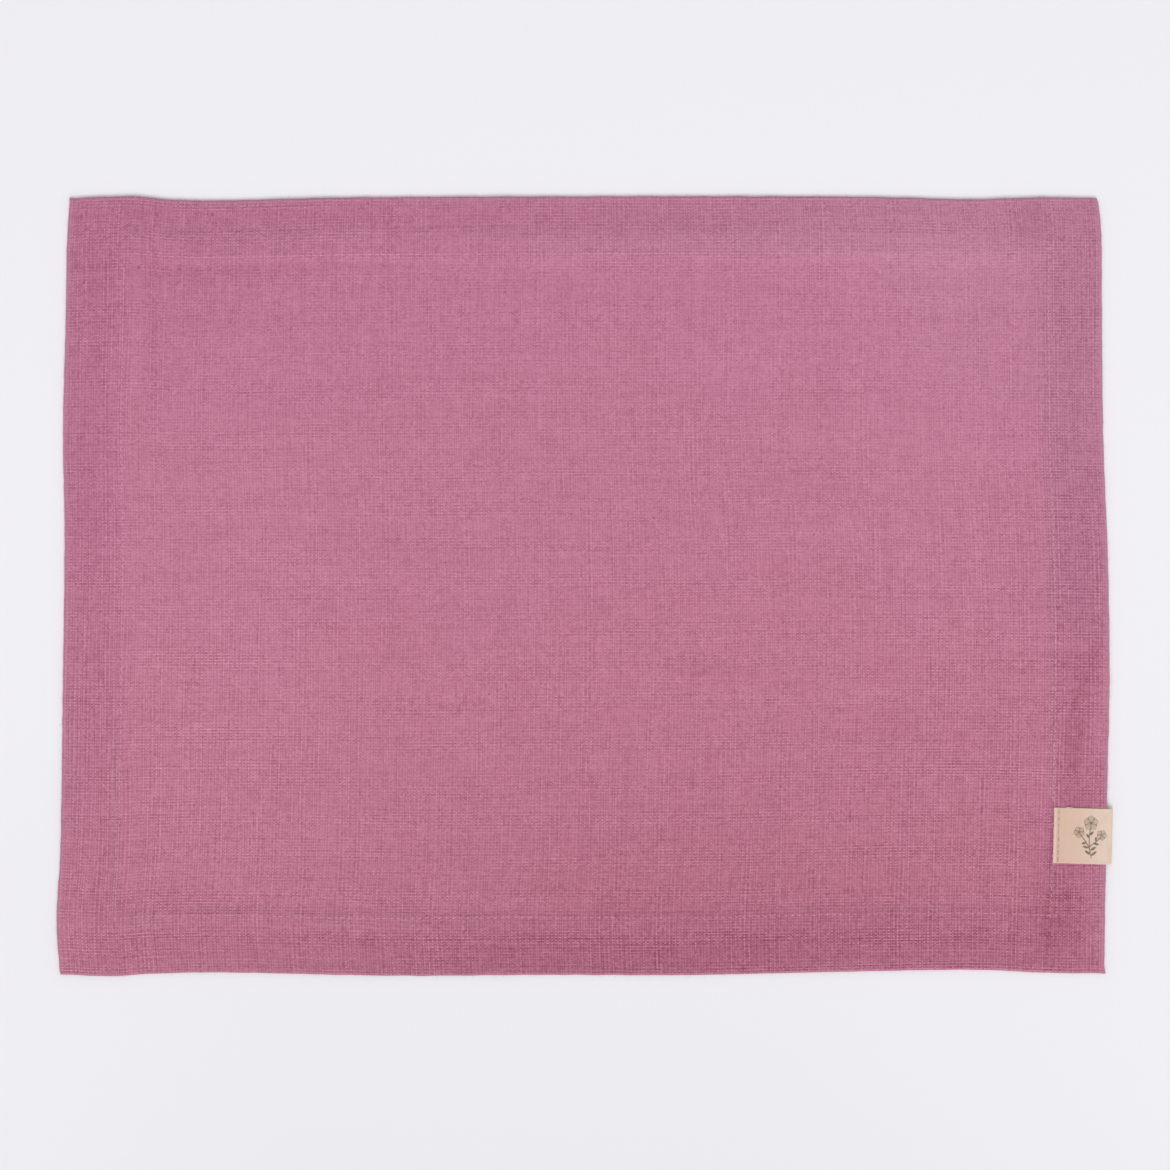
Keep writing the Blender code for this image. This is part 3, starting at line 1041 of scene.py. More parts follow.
# %% [markdown]
# The label is held by one row of stitches across its near end, through all layers, in a thicker
# thread of the ribbon's own colour. They stand on the ribbon, so their places come from its grid.

# %% The label's stitches
LABEL_PITCH = 3.0 * MM
LABEL_THREAD = 0.25 * MM
LABEL_DIVE = 0.34 * MM


def build_label_stitches():
    """One row across the ribbon near its left end."""
    across = np.arange(-3.6, 3.7) * LABEL_PITCH
    random = np.random.default_rng(5)
    row, column = np.searchsorted(ribbon_along, LABEL_SEAM), np.searchsorted(ribbon_across, across)
    middles = ribbon_points[row, column] + random.normal(0, 0.05, (len(across), 3)) * (MM, MM, 0)
    turns = np.full(len(across), math.pi / 2 + LABEL_TURN) + random.normal(0.05, 0.04, len(across))
    lengths = random.uniform(0.72, 0.84, len(across)) * LABEL_PITCH
    rises = random.normal(0.09, 0.03, len(across)) * MM
    return sew("label_stitches", stitch_arcs(middles, turns, lengths, LABEL_THREAD, rises, LABEL_DIVE))


label_stitches = build_label_stitches()

# %% [markdown]
# ## Loose fibres
#
# Spun linen is never quite tidy: short fibres stand off every edge, and a few lie across the face.
# A fibre is a thin tube whose heading turns steadily along its length, which makes a soft curl.
# Hundreds are made at once, with only a few faces each.

# %% Fibres as curled tubes
FIBRE_RINGS = 6
FIBRE_SIDES = 3
FLOOR_AIR = 0.02 * MM


def grow_fibres(name, roots, headings, lengths, curls, climbs, radius):
    """Tubes of one radius or one each, as one piece. Along a fibre, t from 0 to 1, the heading is
    heading + curl * t, the place is the sum of the steps that way, and the height is
    root + climb * sin(pi t / 1.3). None goes below the table."""
    t = np.linspace(0, 1, FIBRE_RINGS)
    angle = headings[:, None] + curls[:, None] * t
    step = lengths[:, None] / (FIBRE_RINGS - 1)
    x = roots[:, :1] + np.cumsum(np.cos(angle) * step, axis=1) - np.cos(angle[:, :1]) * step
    y = roots[:, 1:2] + np.cumsum(np.sin(angle) * step, axis=1) - np.sin(angle[:, :1]) * step
    z = roots[:, 2:] + climbs[:, None] * np.sin(math.pi * t / 1.3)
    around = np.arange(FIBRE_SIDES) * 2 * math.pi / FIBRE_SIDES
    thick = np.reshape(radius, (-1, 1, 1)) * np.sqrt(1.02 - t)[:, None]
    ring_x = x[:, :, None] - np.sin(angle)[:, :, None] * np.cos(around) * thick
    ring_y = y[:, :, None] + np.cos(angle)[:, :, None] * np.cos(around) * thick
    ring_z = np.maximum(z[:, :, None] + np.sin(around) * thick, FLOOR_AIR)
    points = np.stack([ring_x, ring_y, ring_z], axis=-1).reshape(-1, 3)
    return make_piece(name, points, tube_faces(len(roots), FIBRE_RINGS, FIBRE_SIDES))


print("a fibre is", FIBRE_RINGS, "rings of", FIBRE_SIDES, "points")

# %% [markdown]
# At the edge, fibres root on the fold and point away from the mat. On the face they lie anywhere and
# point anywhere. Both kinds are the linen's own, so they are one piece and take its thread's colour.

# %% Fibres at the edge and on the face
EDGE_FIBRES = 520
FACE_FIBRES = 500
EDGE_DEPTH = 0.15 * MM
FIBRE = 0.035 * MM


def edge_fibres(count, random):
    """Roots on the mat's rim and headings that point away from it, spread evenly round the mat."""
    walk = random.uniform(0, 2 * (MAT_LENGTH + MAT_DEPTH), count)
    long_side = walk < 2 * MAT_LENGTH
    sign = np.where(random.uniform(size=count) < 0.5, -1, 1)
    along = np.where(long_side, walk / 2 - MAT_LENGTH / 2, (walk - 2 * MAT_LENGTH) / 2 - MAT_DEPTH / 2)
    x = np.where(long_side, along, sign * (MAT_LENGTH / 2 - EDGE_DEPTH))
    y = np.where(long_side, sign * (MAT_DEPTH / 2 - EDGE_DEPTH), along)
    heading = np.where(long_side, sign * math.pi / 2, np.where(sign > 0, 0, math.pi))
    roots = np.stack([*true_place(x, y), random.uniform(0.4, 1.3, count) * MM], axis=-1)
    return roots, heading + random.normal(0, 0.7, count)


def build_fibres():
    """The fibres of the linen: roots and headings at the edge and on the face, then random lengths,
    curls and climbs for all of them."""
    random = np.random.default_rng(31)
    rim_roots, rim_headings = edge_fibres(EDGE_FIBRES, random)
    x, y = random.uniform(-0.226, 0.226, FACE_FIBRES), random.uniform(-0.168, 0.168, FACE_FIBRES)
    face_roots = np.stack([*true_place(x, y), cloth_top(x, y)], axis=-1)
    headings = np.concatenate([rim_headings, random.uniform(0, 2 * math.pi, FACE_FIBRES)])
    count = len(headings)
    return grow_fibres(
        "loose_fibres", np.concatenate([rim_roots, face_roots]), headings,
        random.uniform(0.5, 2.4, count) * MM, random.normal(0, 1.5, count),
        random.uniform(0.02, 0.35, count) * MM, FIBRE,
    )


loose_fibres = build_fibres()

# %% [markdown]
# The ribbon was cut and not sealed, so short pale threads stick out of its end all along it, and a
# few longer ends lie on it and beside it. The long ones are a table, because each can be seen.

# %% Threads at the ribbon's cut end
SHORT_ENDS = 110
SHORT_END = 0.045
LONG_CLIMB = 0.15
# Columns: place along and across the ribbon (mm), heading (degrees), length (mm), curl, radius (mm)
THREAD_ENDS = np.array([
    (5.2, 12.5, 16, 3.6, -0.6, 0.20),
    (6.6, 12.4, 160, 1.3, 0.8, 0.11),
    (0.2, -11.6, 205, 1.3, 0.9, 0.13),
    (0.3, -9.9, 168, 1.1, -0.6, 0.12),
    (0.2, 11.2, 150, 1.0, 0.7, 0.11),
])


def build_frayed_end():
    """The short random threads first, then the long ones of the table."""
    random = np.random.default_rng(32)
    column = random.integers(0, len(ribbon_across), SHORT_ENDS)
    depth = random.uniform(0.1, 0.5, SHORT_ENDS) * MM
    along, across, heading, length, curl, radius = THREAD_ENDS.T
    row = np.searchsorted(ribbon_along, along * MM)
    roots = np.concatenate([
        ribbon_points[0, column] - depth[:, None] * (0, 0, 1),
        ribbon_points[row, np.searchsorted(ribbon_across, across * MM)],
    ])
    short_headings = math.pi + LABEL_TURN + random.normal(0, 0.45, SHORT_ENDS)
    return grow_fibres(
        "frayed_end", roots, np.concatenate([short_headings, np.radians(heading)]),
        np.concatenate([random.uniform(0.2, 0.9, SHORT_ENDS), length]) * MM,
        np.concatenate([random.normal(0, 1.2, SHORT_ENDS), curl]),
        np.concatenate([random.uniform(-0.1, 0.2, SHORT_ENDS), np.full(len(curl), LONG_CLIMB)]) * MM,
        np.concatenate([np.full(SHORT_ENDS, SHORT_END), radius]) * MM,
    )


frayed_end = build_frayed_end()

# %% [markdown]
# ## Camera and floor
#
# The mat is seen from straight above, a hair off its middle. The camera stands far off with a long
# lens, so the view has almost no perspective, and the length of the lens follows from how wide the
# picture is.

# %% The camera
PHOTO_SIDE = 1170
PIXEL = 0.4515 * MM
CAMERA_PLACE = (-0.25 * MM, 0.45 * MM, 2.4)
SENSOR = 36.0

camera_data = bpy.data.cameras.new("overhead")
camera_data.sensor_width = SENSOR
camera_data.lens = SENSOR * CAMERA_PLACE[2] / (PHOTO_SIDE * PIXEL)
camera = add_object("overhead", camera_data)
camera.location = CAMERA_PLACE
bpy.context.scene.camera = camera
print("lens %.0f mm, %.0f mm across the picture" % (camera_data.lens, PHOTO_SIDE * PIXEL / MM))

# %% [markdown]
# The floor is one plain, pale face, wide enough that no view reaches past it. A level face needs
# only its two ends each way and its height, so a small helper makes it.

# %% The floor
FLOOR = 6.0


def flat_board(name, x_ends, y_ends, height):
    """One level, four-cornered face from end to end both ways."""
    mesh = bpy.data.meshes.new(name)
    corners = [(x_ends[i], y_ends[j], height) for i, j in ((0, 0), (1, 0), (1, 1), (0, 1))]
    mesh.from_pydata(corners, [], [(0, 1, 2, 3)])
    return add_object(name, mesh)


floor = flat_board("floor", (-FLOOR, FLOOR), (-FLOOR, FLOOR), 0)
print("floor of %.0f by %.0f m" % (2 * FLOOR, 2 * FLOOR))

# %% [markdown]
# ## Light
#
# The light is soft and comes from two places. A wide panel stands on the near side, a little to the
# right, and grazes the face enough to lift the seams and the label.

# %% A soft panel
PANEL_PLACE = (0.4, -3.0, 3.3)
PANEL_SIZE = 2.7
PANEL_POWER = 108
PANEL_COLOUR = (1.0, 0.99, 0.97)

panel_data = bpy.data.lights.new("soft panel", "AREA")
panel_data.shape = "SQUARE"
panel_data.size = PANEL_SIZE
panel_data.energy = PANEL_POWER
panel_data.color = PANEL_COLOUR
panel = add_object("soft panel", panel_data)
panel.location = PANEL_PLACE
panel.rotation_euler = Vector(PANEL_PLACE).to_track_quat("Z", "Y").to_euler()
print("panel %.1f m away" % panel.location.length)

# %% [markdown]
# The world's even glow fills in from all round, so no shade is hard or deep. It is a little blue
# against the panel's slight warmth, as daylight from a window is.

# %% An even glow
GLOW_COLOUR = (0.98, 0.975, 1.0, 1)
GLOW_STRENGTH = 0.72

world = bpy.data.worlds.new("studio glow")
world.use_nodes = True
glow = world.node_tree.nodes["Background"]
glow.inputs["Color"].default_value = GLOW_COLOUR
glow.inputs["Strength"].default_value = GLOW_STRENGTH
bpy.context.scene.world = world
bpy.context.scene.view_settings.view_transform = "Standard"
print("glow of strength", GLOW_STRENGTH)

# %% [markdown]
# In the photo the floor is a little darker at the mat's near side, as if something held off a part
# of the light there. A dark card does the same here. It hangs high over the floor, so its shade has
# no edge that one could see, and it is hidden from the camera.

# %% A card that shades the near side
CARD_HEIGHT = 0.42
CARD_SPAN = (-0.24, 0.34)
CARD_DEPTH = (-0.66, -0.80)

card = flat_board("shade card", CARD_SPAN, CARD_DEPTH, CARD_HEIGHT)
card.visible_camera = False
print("card of %.2f by %.2f m" % (CARD_SPAN[1] - CARD_SPAN[0], CARD_DEPTH[0] - CARD_DEPTH[1]))

# %% [markdown]
# ## Sums on sockets
#
# The weave is a formula, and formulas made of node calls are hard to read. This small class wraps a
# shader socket, so that + - * / build the nodes behind them.

# %% Arithmetic for shader sockets
class Field:
    """A number that changes over a surface, held by a socket of a node tree."""

    def __init__(self, tree, socket):
        self.tree, self.socket = tree, socket

    def step(self, operation, *values):
        """A Math node of that operation on this field and the values after it."""
        return field_math(self.tree, operation, self, *values)

    def __add__(self, other):
        return self.step("ADD", other)

    def __sub__(self, other):
        return self.step("SUBTRACT", other)

    def __rsub__(self, other):
        return field_math(self.tree, "SUBTRACT", other, self)

    def __mul__(self, other):
        return self.step("MULTIPLY", other)

    def __truediv__(self, other):
        return self.step("DIVIDE", other)

    __radd__, __rmul__ = __add__, __mul__


def plug(tree, value, socket):
    """Sets a socket to a number or a colour, or links a field or a socket to it."""
    if isinstance(value, Field):
        value = value.socket
    if isinstance(value, bpy.types.NodeSocket):
        tree.links.new(value, socket)
    else:
        socket.default_value = value


def field_math(tree, operation, *values):
    """A Math node of that operation on numbers and fields, in their order."""
    node = tree.nodes.new("ShaderNodeMath")
    node.operation = operation
    for value, socket in zip(values, node.inputs):
        plug(tree, value, socket)
    return Field(tree, node.outputs[0])


print("a field can add, take away, multiply and divide")

# %% [markdown]
# A few steps are used again and again, so each gets a name: putting three numbers together to a
# place and taking them apart again, a smooth step from 0 to 1, two kinds of noise, and a blend of
# two colours.

# %% Named steps
def vector_of(tree, *parts):
    """A place from up to three numbers or fields."""
    node = tree.nodes.new("ShaderNodeCombineXYZ")
    for value, socket in zip(parts, node.inputs):
        plug(tree, value, socket)
    return node.outputs[0]


def parts_of(tree, vector):
    """The three numbers of a place, each as a field."""
    node = tree.nodes.new("ShaderNodeSeparateXYZ")
    tree.links.new(vector, node.inputs[0])
    return [Field(tree, socket) for socket in node.outputs]


def smooth_range(field, low, high):
    """0 at low, 1 at high, smooth between; high may be the lower number."""
    node = field.tree.nodes.new("ShaderNodeMapRange")
    node.interpolation_type = "SMOOTHSTEP"
    plug(field.tree, field, node.inputs["Value"])
    node.inputs["From Min"].default_value = low
    node.inputs["From Max"].default_value = high
    return Field(field.tree, node.outputs["Result"])


def noise(tree, *parts, detail=1.0, roughness=0.5):
    """Cloudy noise, 0 to 1 about 0.5, at the place that the parts give."""
    node = tree.nodes.new("ShaderNodeTexNoise")
    node.inputs["Scale"].default_value = 1.0
    node.inputs["Detail"].default_value = detail
    node.inputs["Roughness"].default_value = roughness
    tree.links.new(vector_of(tree, *parts), node.inputs["Vector"])
    return Field(tree, node.outputs["Fac"])


def white_noise(tree, *parts):
    """A fixed random number, 0 to 1, for each whole place."""
    node = tree.nodes.new("ShaderNodeTexWhiteNoise")
    tree.links.new(vector_of(tree, *parts), node.inputs["Vector"])
    return Field(tree, node.outputs["Value"])


def blend_colour(tree, amount, first, second, mode="MIX"):
    """The first colour at amount 0, the second, or its blend with the first, at amount 1."""
    node = tree.nodes.new("ShaderNodeMix")
    node.data_type = "RGBA"
    node.blend_type = mode
    plug(tree, amount, node.inputs["Factor"])
    plug(tree, first, node.inputs[6])
    plug(tree, second, node.inputs[7])
    return node.outputs[2]


print("named steps:", ", ".join(step.__name__ for step in (vector_of, smooth_range, noise, blend_colour)))

# %% [markdown]
# An effect that more than one material uses is a node group: a small tree with named inputs and
# outputs, made once. Two helpers serve both groups below, one to make an empty group and one to
# use a group in a material.

# %% Making and using a node group
def new_group(name, inputs, outputs):
    """An empty group with named sockets, each with its kind and perhaps a first value. Returns the
    group, the sockets that it is given and those that it gives back."""
    tree = bpy.data.node_groups.new(name, "ShaderNodeTree")
    for title, (kind, *value) in inputs.items():
        socket = tree.interface.new_socket(title, in_out="INPUT", socket_type="NodeSocket" + kind)
        if value:
            socket.default_value = value[0]
    for title, kind in outputs.items():
        tree.interface.new_socket(title, in_out="OUTPUT", socket_type="NodeSocket" + kind)
    return tree, tree.nodes.new("NodeGroupInput").outputs, tree.nodes.new("NodeGroupOutput").inputs


def use_group(tree, group, place, settings):
    """A node that runs a group at a place, with its other inputs set."""
    node = tree.nodes.new("ShaderNodeGroup")
    node.node_tree = group
    tree.links.new(place, node.inputs["Place"])
    for name, value in settings.items():
        node.inputs[name].default_value = value
    return node


print("node groups so far:", len(bpy.data.node_groups))

# %% [markdown]
# ## The plain weave
#
# In plain weave each thread goes over one and under the next. A thread's section is round, so its
# height falls as 1 - (distance / half width)^2, and its path is a sine that rises where it goes
# over. Linen threads swell and thin along their length, which gives the slubs. The linen and the
# ribbon both use this effect, so it is a node group. Below, p counts the upright threads and q the
# level ones.

# %% Paths and heights of the threads
THREAD_HALF = 0.47
THREAD_ROUND = 0.6
THREAD_WAVE = 0.42
SLUB_SWELL = 0.6


def weave_paths(tree, u, v, given):
    """The place counted in threads both ways, p and q: the place over the pitch, swayed by noise.
    With each comes its whole number, and 1 or -1 by turns from thread to thread."""
    wander = Field(tree, given["Wander"])
    sway_u = noise(tree, u * 60, v * 14, 3.0, detail=4.0, roughness=0.6) - 0.5
    sway_v = noise(tree, u * 14, v * 60, 8.0, detail=3.0) - 0.5
    p = u / Field(tree, given["Warp Pitch"]) + sway_u * wander
    q = v / Field(tree, given["Weft Pitch"]) + sway_v * wander
    i, j = p.step("FLOOR"), q.step("FLOOR")
    turn_p = 1 - i.step("FLOORED_MODULO", 2.0) * 2
    turn_q = 1 - j.step("FLOORED_MODULO", 2.0) * 2
    return p, q, i, j, turn_p, turn_q


def weave_heights(p, q, i, j, turn_p, turn_q, thick_p, thick_q, slub):
    """The height of the upright and of the level thread at a point: round across, a sine along, and
    higher where the thread is thick."""
    half_p = thick_p * slub * SLUB_SWELL + THREAD_HALF
    half_q = thick_q * slub * SLUB_SWELL + THREAD_HALF
    round_p = 1 - ((p - i - 0.5) / half_p).step("POWER", 2.0)
    round_q = 1 - ((q - j - 0.5) / half_q).step("POWER", 2.0)
    wave_p = turn_p * (q * math.pi).step("SINE") * THREAD_WAVE
    wave_q = turn_q * (p * math.pi).step("SINE") * THREAD_WAVE
    return (
        round_p * THREAD_ROUND + wave_p + thick_p * slub,
        round_q * THREAD_ROUND - wave_q + thick_q * slub,
    )


print("a thread fills %.0f%% of its pitch" % (200 * THREAD_HALF))

# %% [markdown]
# The threads take light and dye unevenly too. The loom leaves bands in which single threads stand
# out, about nine upright and thirteen level threads wide. Within a band the threads are light and
# dark by turns, and each crossing has a little tone of its own.

# %% Checks and tones of the threads
REED_THREADS = 9
BEAT_THREADS = 13
REED_SHARE = 0.07
BAND_RANGE = (0.40, 0.66)


def weave_bands(tree, u, v, p, q):
    """0.25 to 1, for each set of threads: how clearly they show, by a cosine over the threads of a
    band and by noise that runs along them."""
    reed_p = (p * (math.pi / REED_THREADS)).step("COSINE") * REED_SHARE
    reed_q = (q * (math.pi / BEAT_THREADS)).step("COSINE") * REED_SHARE
    reed_p = reed_p + noise(tree, p * 0.13, v * 10, 12.0, detail=2.0)
    reed_q = reed_q + noise(tree, u * 10, q * 0.10, 17.0, detail=2.0)
    return [smooth_range(reed, *BAND_RANGE) * 0.75 + 0.25 for reed in (reed_p, reed_q)]


def weave_checks(p, turn_p, turn_q, bands_p, bands_q):
    """Ribs between the upright threads, threads light and dark by turns, and checks where both
    sets do so at once."""
    ribs = (p * 2 * math.pi).step("COSINE") * bands_p * -0.05 + bands_p * turn_p * 0.11
    courses = bands_q * turn_q * 0.205
    checks = bands_q * turn_p * turn_q * 0.16
    return ribs + courses + checks


def weave_tone(tree, u, v, i, j, thick_p, thick_q, on_top, bands_p, bands_q):
    """The tone of the thread that lies on top, and a random one for each crossing."""
    shade_p = noise(tree, i * 9.1, v * 14, 2.0, detail=1.0) - 0.5 + thick_p
    shade_q = noise(tree, u * 14, j * 9.1, 7.0, detail=1.0) - 0.5 + thick_q
    crossing = (white_noise(tree, i, j) - 0.5) * (bands_p.step("MAXIMUM", bands_q) * 0.44 + 0.32)
    return shade_q * 0.3 + (shade_p * 0.45 - shade_q * 0.3) * on_top + crossing


print("bands of about", REED_THREADS, "and", BEAT_THREADS, "threads")

# %% [markdown]
# Whichever thread stands higher is the one that shows, and where neither does there is a pore. The
# group puts the parts together and gives back five numbers: the height, how deep in a pore and how
# high on a crown a point is, the tone, and the checks.

# %% The weave as a node group
TWIST = 0.04
PORE_RANGE = (0.32, -0.02)
CROWN_RANGE = (0.62, 1.10)


def build_weave_group():
    """The plain weave at a place on the flat cloth, with its pitches, slubs and wander as inputs."""
    numbers = ("Height", "Pore", "Crown", "Tone", "Checks")
    tree, given, result = new_group(
        "plain_weave",
        {
            "Place": ("Vector",), "Warp Pitch": ("Float", 1.0 * MM), "Weft Pitch": ("Float", 1.0 * MM),
            "Slub": ("Float", 1.0), "Wander": ("Float", 1.0),
        },
        dict.fromkeys(numbers, "Float"),
    )
    u, v, _ = parts_of(tree, given["Place"])
    p, q, i, j, turn_p, turn_q = weave_paths(tree, u, v, given)
    thick_p = noise(tree, i * 5.7, v * 70, 1.0, detail=2.0) - 0.5
    thick_q = noise(tree, u * 70, j * 5.7, 6.0, detail=2.0) - 0.5
    slub = Field(tree, given["Slub"])
    height_p, height_q = weave_heights(p, q, i, j, turn_p, turn_q, thick_p, thick_q, slub)
    top = height_p.step("MAXIMUM", height_q)
    on_top = smooth_range(height_p - height_q, -0.06, 0.06)
    bands_p, bands_q = weave_bands(tree, u, v, p, q)
    twist = ((p + q) * 5 * math.pi).step("SINE") * TWIST
    tone = weave_tone(tree, u, v, i, j, thick_p, thick_q, on_top, bands_p, bands_q)
    plug(tree, (top + twist).step("MAXIMUM", -0.2), result["Height"])
    plug(tree, smooth_range(top, *PORE_RANGE), result["Pore"])
    plug(tree, smooth_range(top, *CROWN_RANGE), result["Crown"])
    plug(tree, tone, result["Tone"])
    plug(tree, weave_checks(p, turn_p, turn_q, bands_p, bands_q), result["Checks"])
    return tree


weave_group = build_weave_group()
print("weave group of", len(weave_group.nodes), "nodes")

# %% [markdown]
# ## Finishes
#
# Each material starts from one shader. Cloth reads its weave coordinates, so its threads follow the
# cloth over every bend, and it reads the numbers that were worked out for each point. The height
# of the threads is too fine for real shape, so it only tips the light, as a bump.

# %% Helpers for the finishes
def new_material(name):
    """A material, its node tree and the shader in it."""
    material = bpy.data.materials.new(name)
    material.use_nodes = True
    return material, material.node_tree, material.node_tree.nodes["Principled BSDF"]


def weave_nodes(tree, warp_pitch, weft_pitch, slub, wander):
    """The weave group, fed from the piece's own weave coordinates. Returns the place and outputs."""
    place = tree.nodes.new("ShaderNodeUVMap")
    place.uv_map = "weave"
    settings = {"Warp Pitch": warp_pitch, "Weft Pitch": weft_pitch, "Slub": slub, "Wander": wander}
    group = use_group(tree, weave_group, place.outputs[0], settings)
    u, v, _ = parts_of(tree, place.outputs[0])
    return u, v, {output.name: Field(tree, output) for output in group.outputs}


def attribute_field(tree, name):
    """One of the piece's own numbers for each point."""
    node = tree.nodes.new("ShaderNodeAttribute")
    node.attribute_name = name
    return Field(tree, node.outputs["Fac"])


def bump_from(tree, height, distance, strength=1.0):
    """Tips the light as a relief would whose height 1 stands that distance high."""
    bump = tree.nodes.new("ShaderNodeBump")
    bump.inputs["Strength"].default_value = strength
    bump.inputs["Distance"].default_value = distance
    plug(tree, height, bump.inputs["Height"])
    return bump.outputs[0]


CLOTH_NUMBERS = ("tone", "crisp", "hem", "rim")
print("the cloth's own numbers:", [name for name in CLOTH_NUMBERS if name in cloth.data.attributes])

# %% [markdown]
# ## The linen's finish
#
# Linen is matt, with a faint sheen where fibres stand up. Its hue shifts a little from the near to
# the far side, where cooler light is painted in, and a pale sheen of light is painted in towards the
# upper right. The hem looks deeper, because the pale table no longer shines through three layers of
# cloth, and the rim is painted paler, as light on the rolled edge.

# %% The linen's colours
# the far side's bluer hue is painted cooler light
ROSE_FAR = (0.541, 0.1895, 0.298, 1)
ROSE_NEAR = (0.542, 0.190, 0.278, 1)
ROSE_DARK = (0.200, 0.012, 0.054, 1)
ROSE_LIGHT = (0.750, 0.372, 0.486, 1)
# a painted pale sheen of light towards the upper right
ROSE_PAINTED_SHEEN = (0.547, 0.213, 0.322, 1)
# painted light on the rolled edge: paler and greyer
ROSE_RIM_LIGHT = (0.560, 0.250, 0.355, 1)
HEM_TINT = (0.966, 1.0, 1.0, 1)


def linen_hue(tree, u, v, clouds):
    """The colour before any thread shows: near to far with painted cooler light at the far side, then
    a painted pale sheen towards the upper right, then tinted on the hem.
    """
    far = smooth_range(v - u * 0.15 + clouds * 0.06, -0.19, 0.17)
    colour = blend_colour(tree, far, ROSE_NEAR, ROSE_FAR)
    # a painted pale sheen of light towards the upper right
    colour = blend_colour(tree, smooth_range(u + v + clouds * 0.15, 0.08, 0.40), colour, ROSE_PAINTED_SHEEN)
    return blend_colour(tree, attribute_field(tree, "hem"), colour, HEM_TINT, "MULTIPLY")


print("near", ROSE_NEAR[:3], "far", ROSE_FAR[:3])

# %% [markdown]
# Threads take dye differently, so there are streaks along both sets of them, broader bars, fine
# grain, and flecks where a knot of fibre was spun in. Beside the weave itself run slower strands
# and picks whose spacing wanders. The threads' crowns get a painted highlight and their pores a
# painted shade. All of it adds up to one number, the light: above 0 it draws the colour to the pale
# rose, below 0 to the dark one. How crisp the threads are scales their share.

# %% The linen's light and dark
STRAND_SPACING = 1.29 * MM
PICK_SPACING = 1.42 * MM
SPACING_WANDER = 22


def linen_threads(tree, u, v, weave, crisp):
    """The share of single threads: tone of the weave, a painted highlight on its crowns and painted
    shade in its pores, streaks and grain, and the regular lines, which show only where the weave is
    crisp."""
    streaks = noise(tree, u * 14, v * 400, 22.0, detail=2.0) - 0.5
    streaks = streaks + (noise(tree, u * 500, v * 12, 21.0, detail=2.0) - 0.5) * 0.5
    grain = noise(tree, u * 1400, v * 1400, 24.0, detail=2.0) - 0.5
    strands = u * (2 * math.pi / STRAND_SPACING) + noise(tree, u * 150, v * 9, 28.0) * SPACING_WANDER
    picks = v * (2 * math.pi / PICK_SPACING) + noise(tree, u * 9, v * 150, 29.0) * SPACING_WANDER
    # crowns add a painted highlight, pores a painted shade
    threads = weave["Tone"] * 0.50 + weave["Crown"] * 0.02 - weave["Pore"] * 0.55
    threads = threads + streaks * 0.16 + grain * 0.42
    lines = weave["Checks"] * 0.5 + strands.step("COSINE") * 0.07 + picks.step("COSINE") * 0.05
    return threads * (crisp * 0.4 + 0.6) + lines * (crisp * 1.6 - 0.6)


def linen_light(tree, u, v, weave, clouds):
    """The threads, with the bars, flecks, clouds, knots and the painted light and shade of hems and folds
    added.
    """
    bars = noise(tree, u * 5, v * 95, 26.0, detail=3.0) - 0.5
    bars = bars + (noise(tree, u * 95, v * 5, 27.0, detail=3.0) - 0.5) * 0.5
    flecks = noise(tree, u * 240, v * 240, 25.0, detail=1.0)
    nep = smooth_range(flecks, 0.74, 0.82)
    light = linen_threads(tree, u, v, weave, attribute_field(tree, "crisp"))
    light = light + bars * 0.15 + (flecks - 0.5) * 0.25 + clouds * 0.03 - nep * 0.4
    # the cloth's tone number is painted light and shade of hems and folds
    return light + attribute_field(tree, "tone")


print("strands %.2f mm and picks %.2f mm apart" % (STRAND_SPACING / MM, PICK_SPACING / MM))

# %% [markdown]
# The material puts hue and light together. Its threads are as far apart as those in the photo,
# 0.98 mm one way and 0.68 mm the other, and high threads are a little smoother than low ones.

# %% The linen material
LINEN_PITCHES = (0.984 * MM, 0.677 * MM)
LINEN_RELIEF = 0.30 * MM


def linen_material():
    """Matt rose linen: the hue, lightened and darkened by the threads, with a paler rim."""
    material, tree, shader = new_material("linen")
    u, v, weave = weave_nodes(tree, *LINEN_PITCHES, 1.0, 2.0)
    clouds = noise(tree, u * 16, v * 16, 23.0, detail=2.0) - 0.5
    light = linen_light(tree, u, v, weave, clouds)
    colour = linen_hue(tree, u, v, clouds)
    colour = blend_colour(tree, light.step("MAXIMUM", 0.0), colour, ROSE_LIGHT)
    colour = blend_colour(tree, (light * -1).step("MAXIMUM", 0.0), colour, ROSE_DARK)
    # the rim is painted paler and greyer, as light on the rolled edge
    colour = blend_colour(tree, attribute_field(tree, "rim") * 0.7, colour, ROSE_RIM_LIGHT)
    plug(tree, colour, shader.inputs["Base Color"])
    plug(tree, 0.86 - weave["Height"] * 0.08, shader.inputs["Roughness"])
    shader.inputs["Sheen Weight"].default_value = 0.12
    shader.inputs["Sheen Roughness"].default_value = 0.5
    shader.inputs["Specular IOR Level"].default_value = 0.3
    plug(tree, bump_from(tree, weave["Height"], LINEN_RELIEF, 0.8), shader.inputs["Normal"])
    return material


cloth.data.materials.append(linen_material())
print("linen of", len(cloth.data.materials[0].node_tree.nodes), "nodes")

# %% [markdown]
# ## Spun thread
#
# Sewing thread, loose fibres and the ribbon's cut ends are all spun, so they share one effect: fine
# light and dark fibres that change from place to place. It is a node group that puts out the colour
# and a height for the bump, and each material gives it two colours of its own.

# %% Spun thread as a node group
FIBRE_FINENESS = 2500


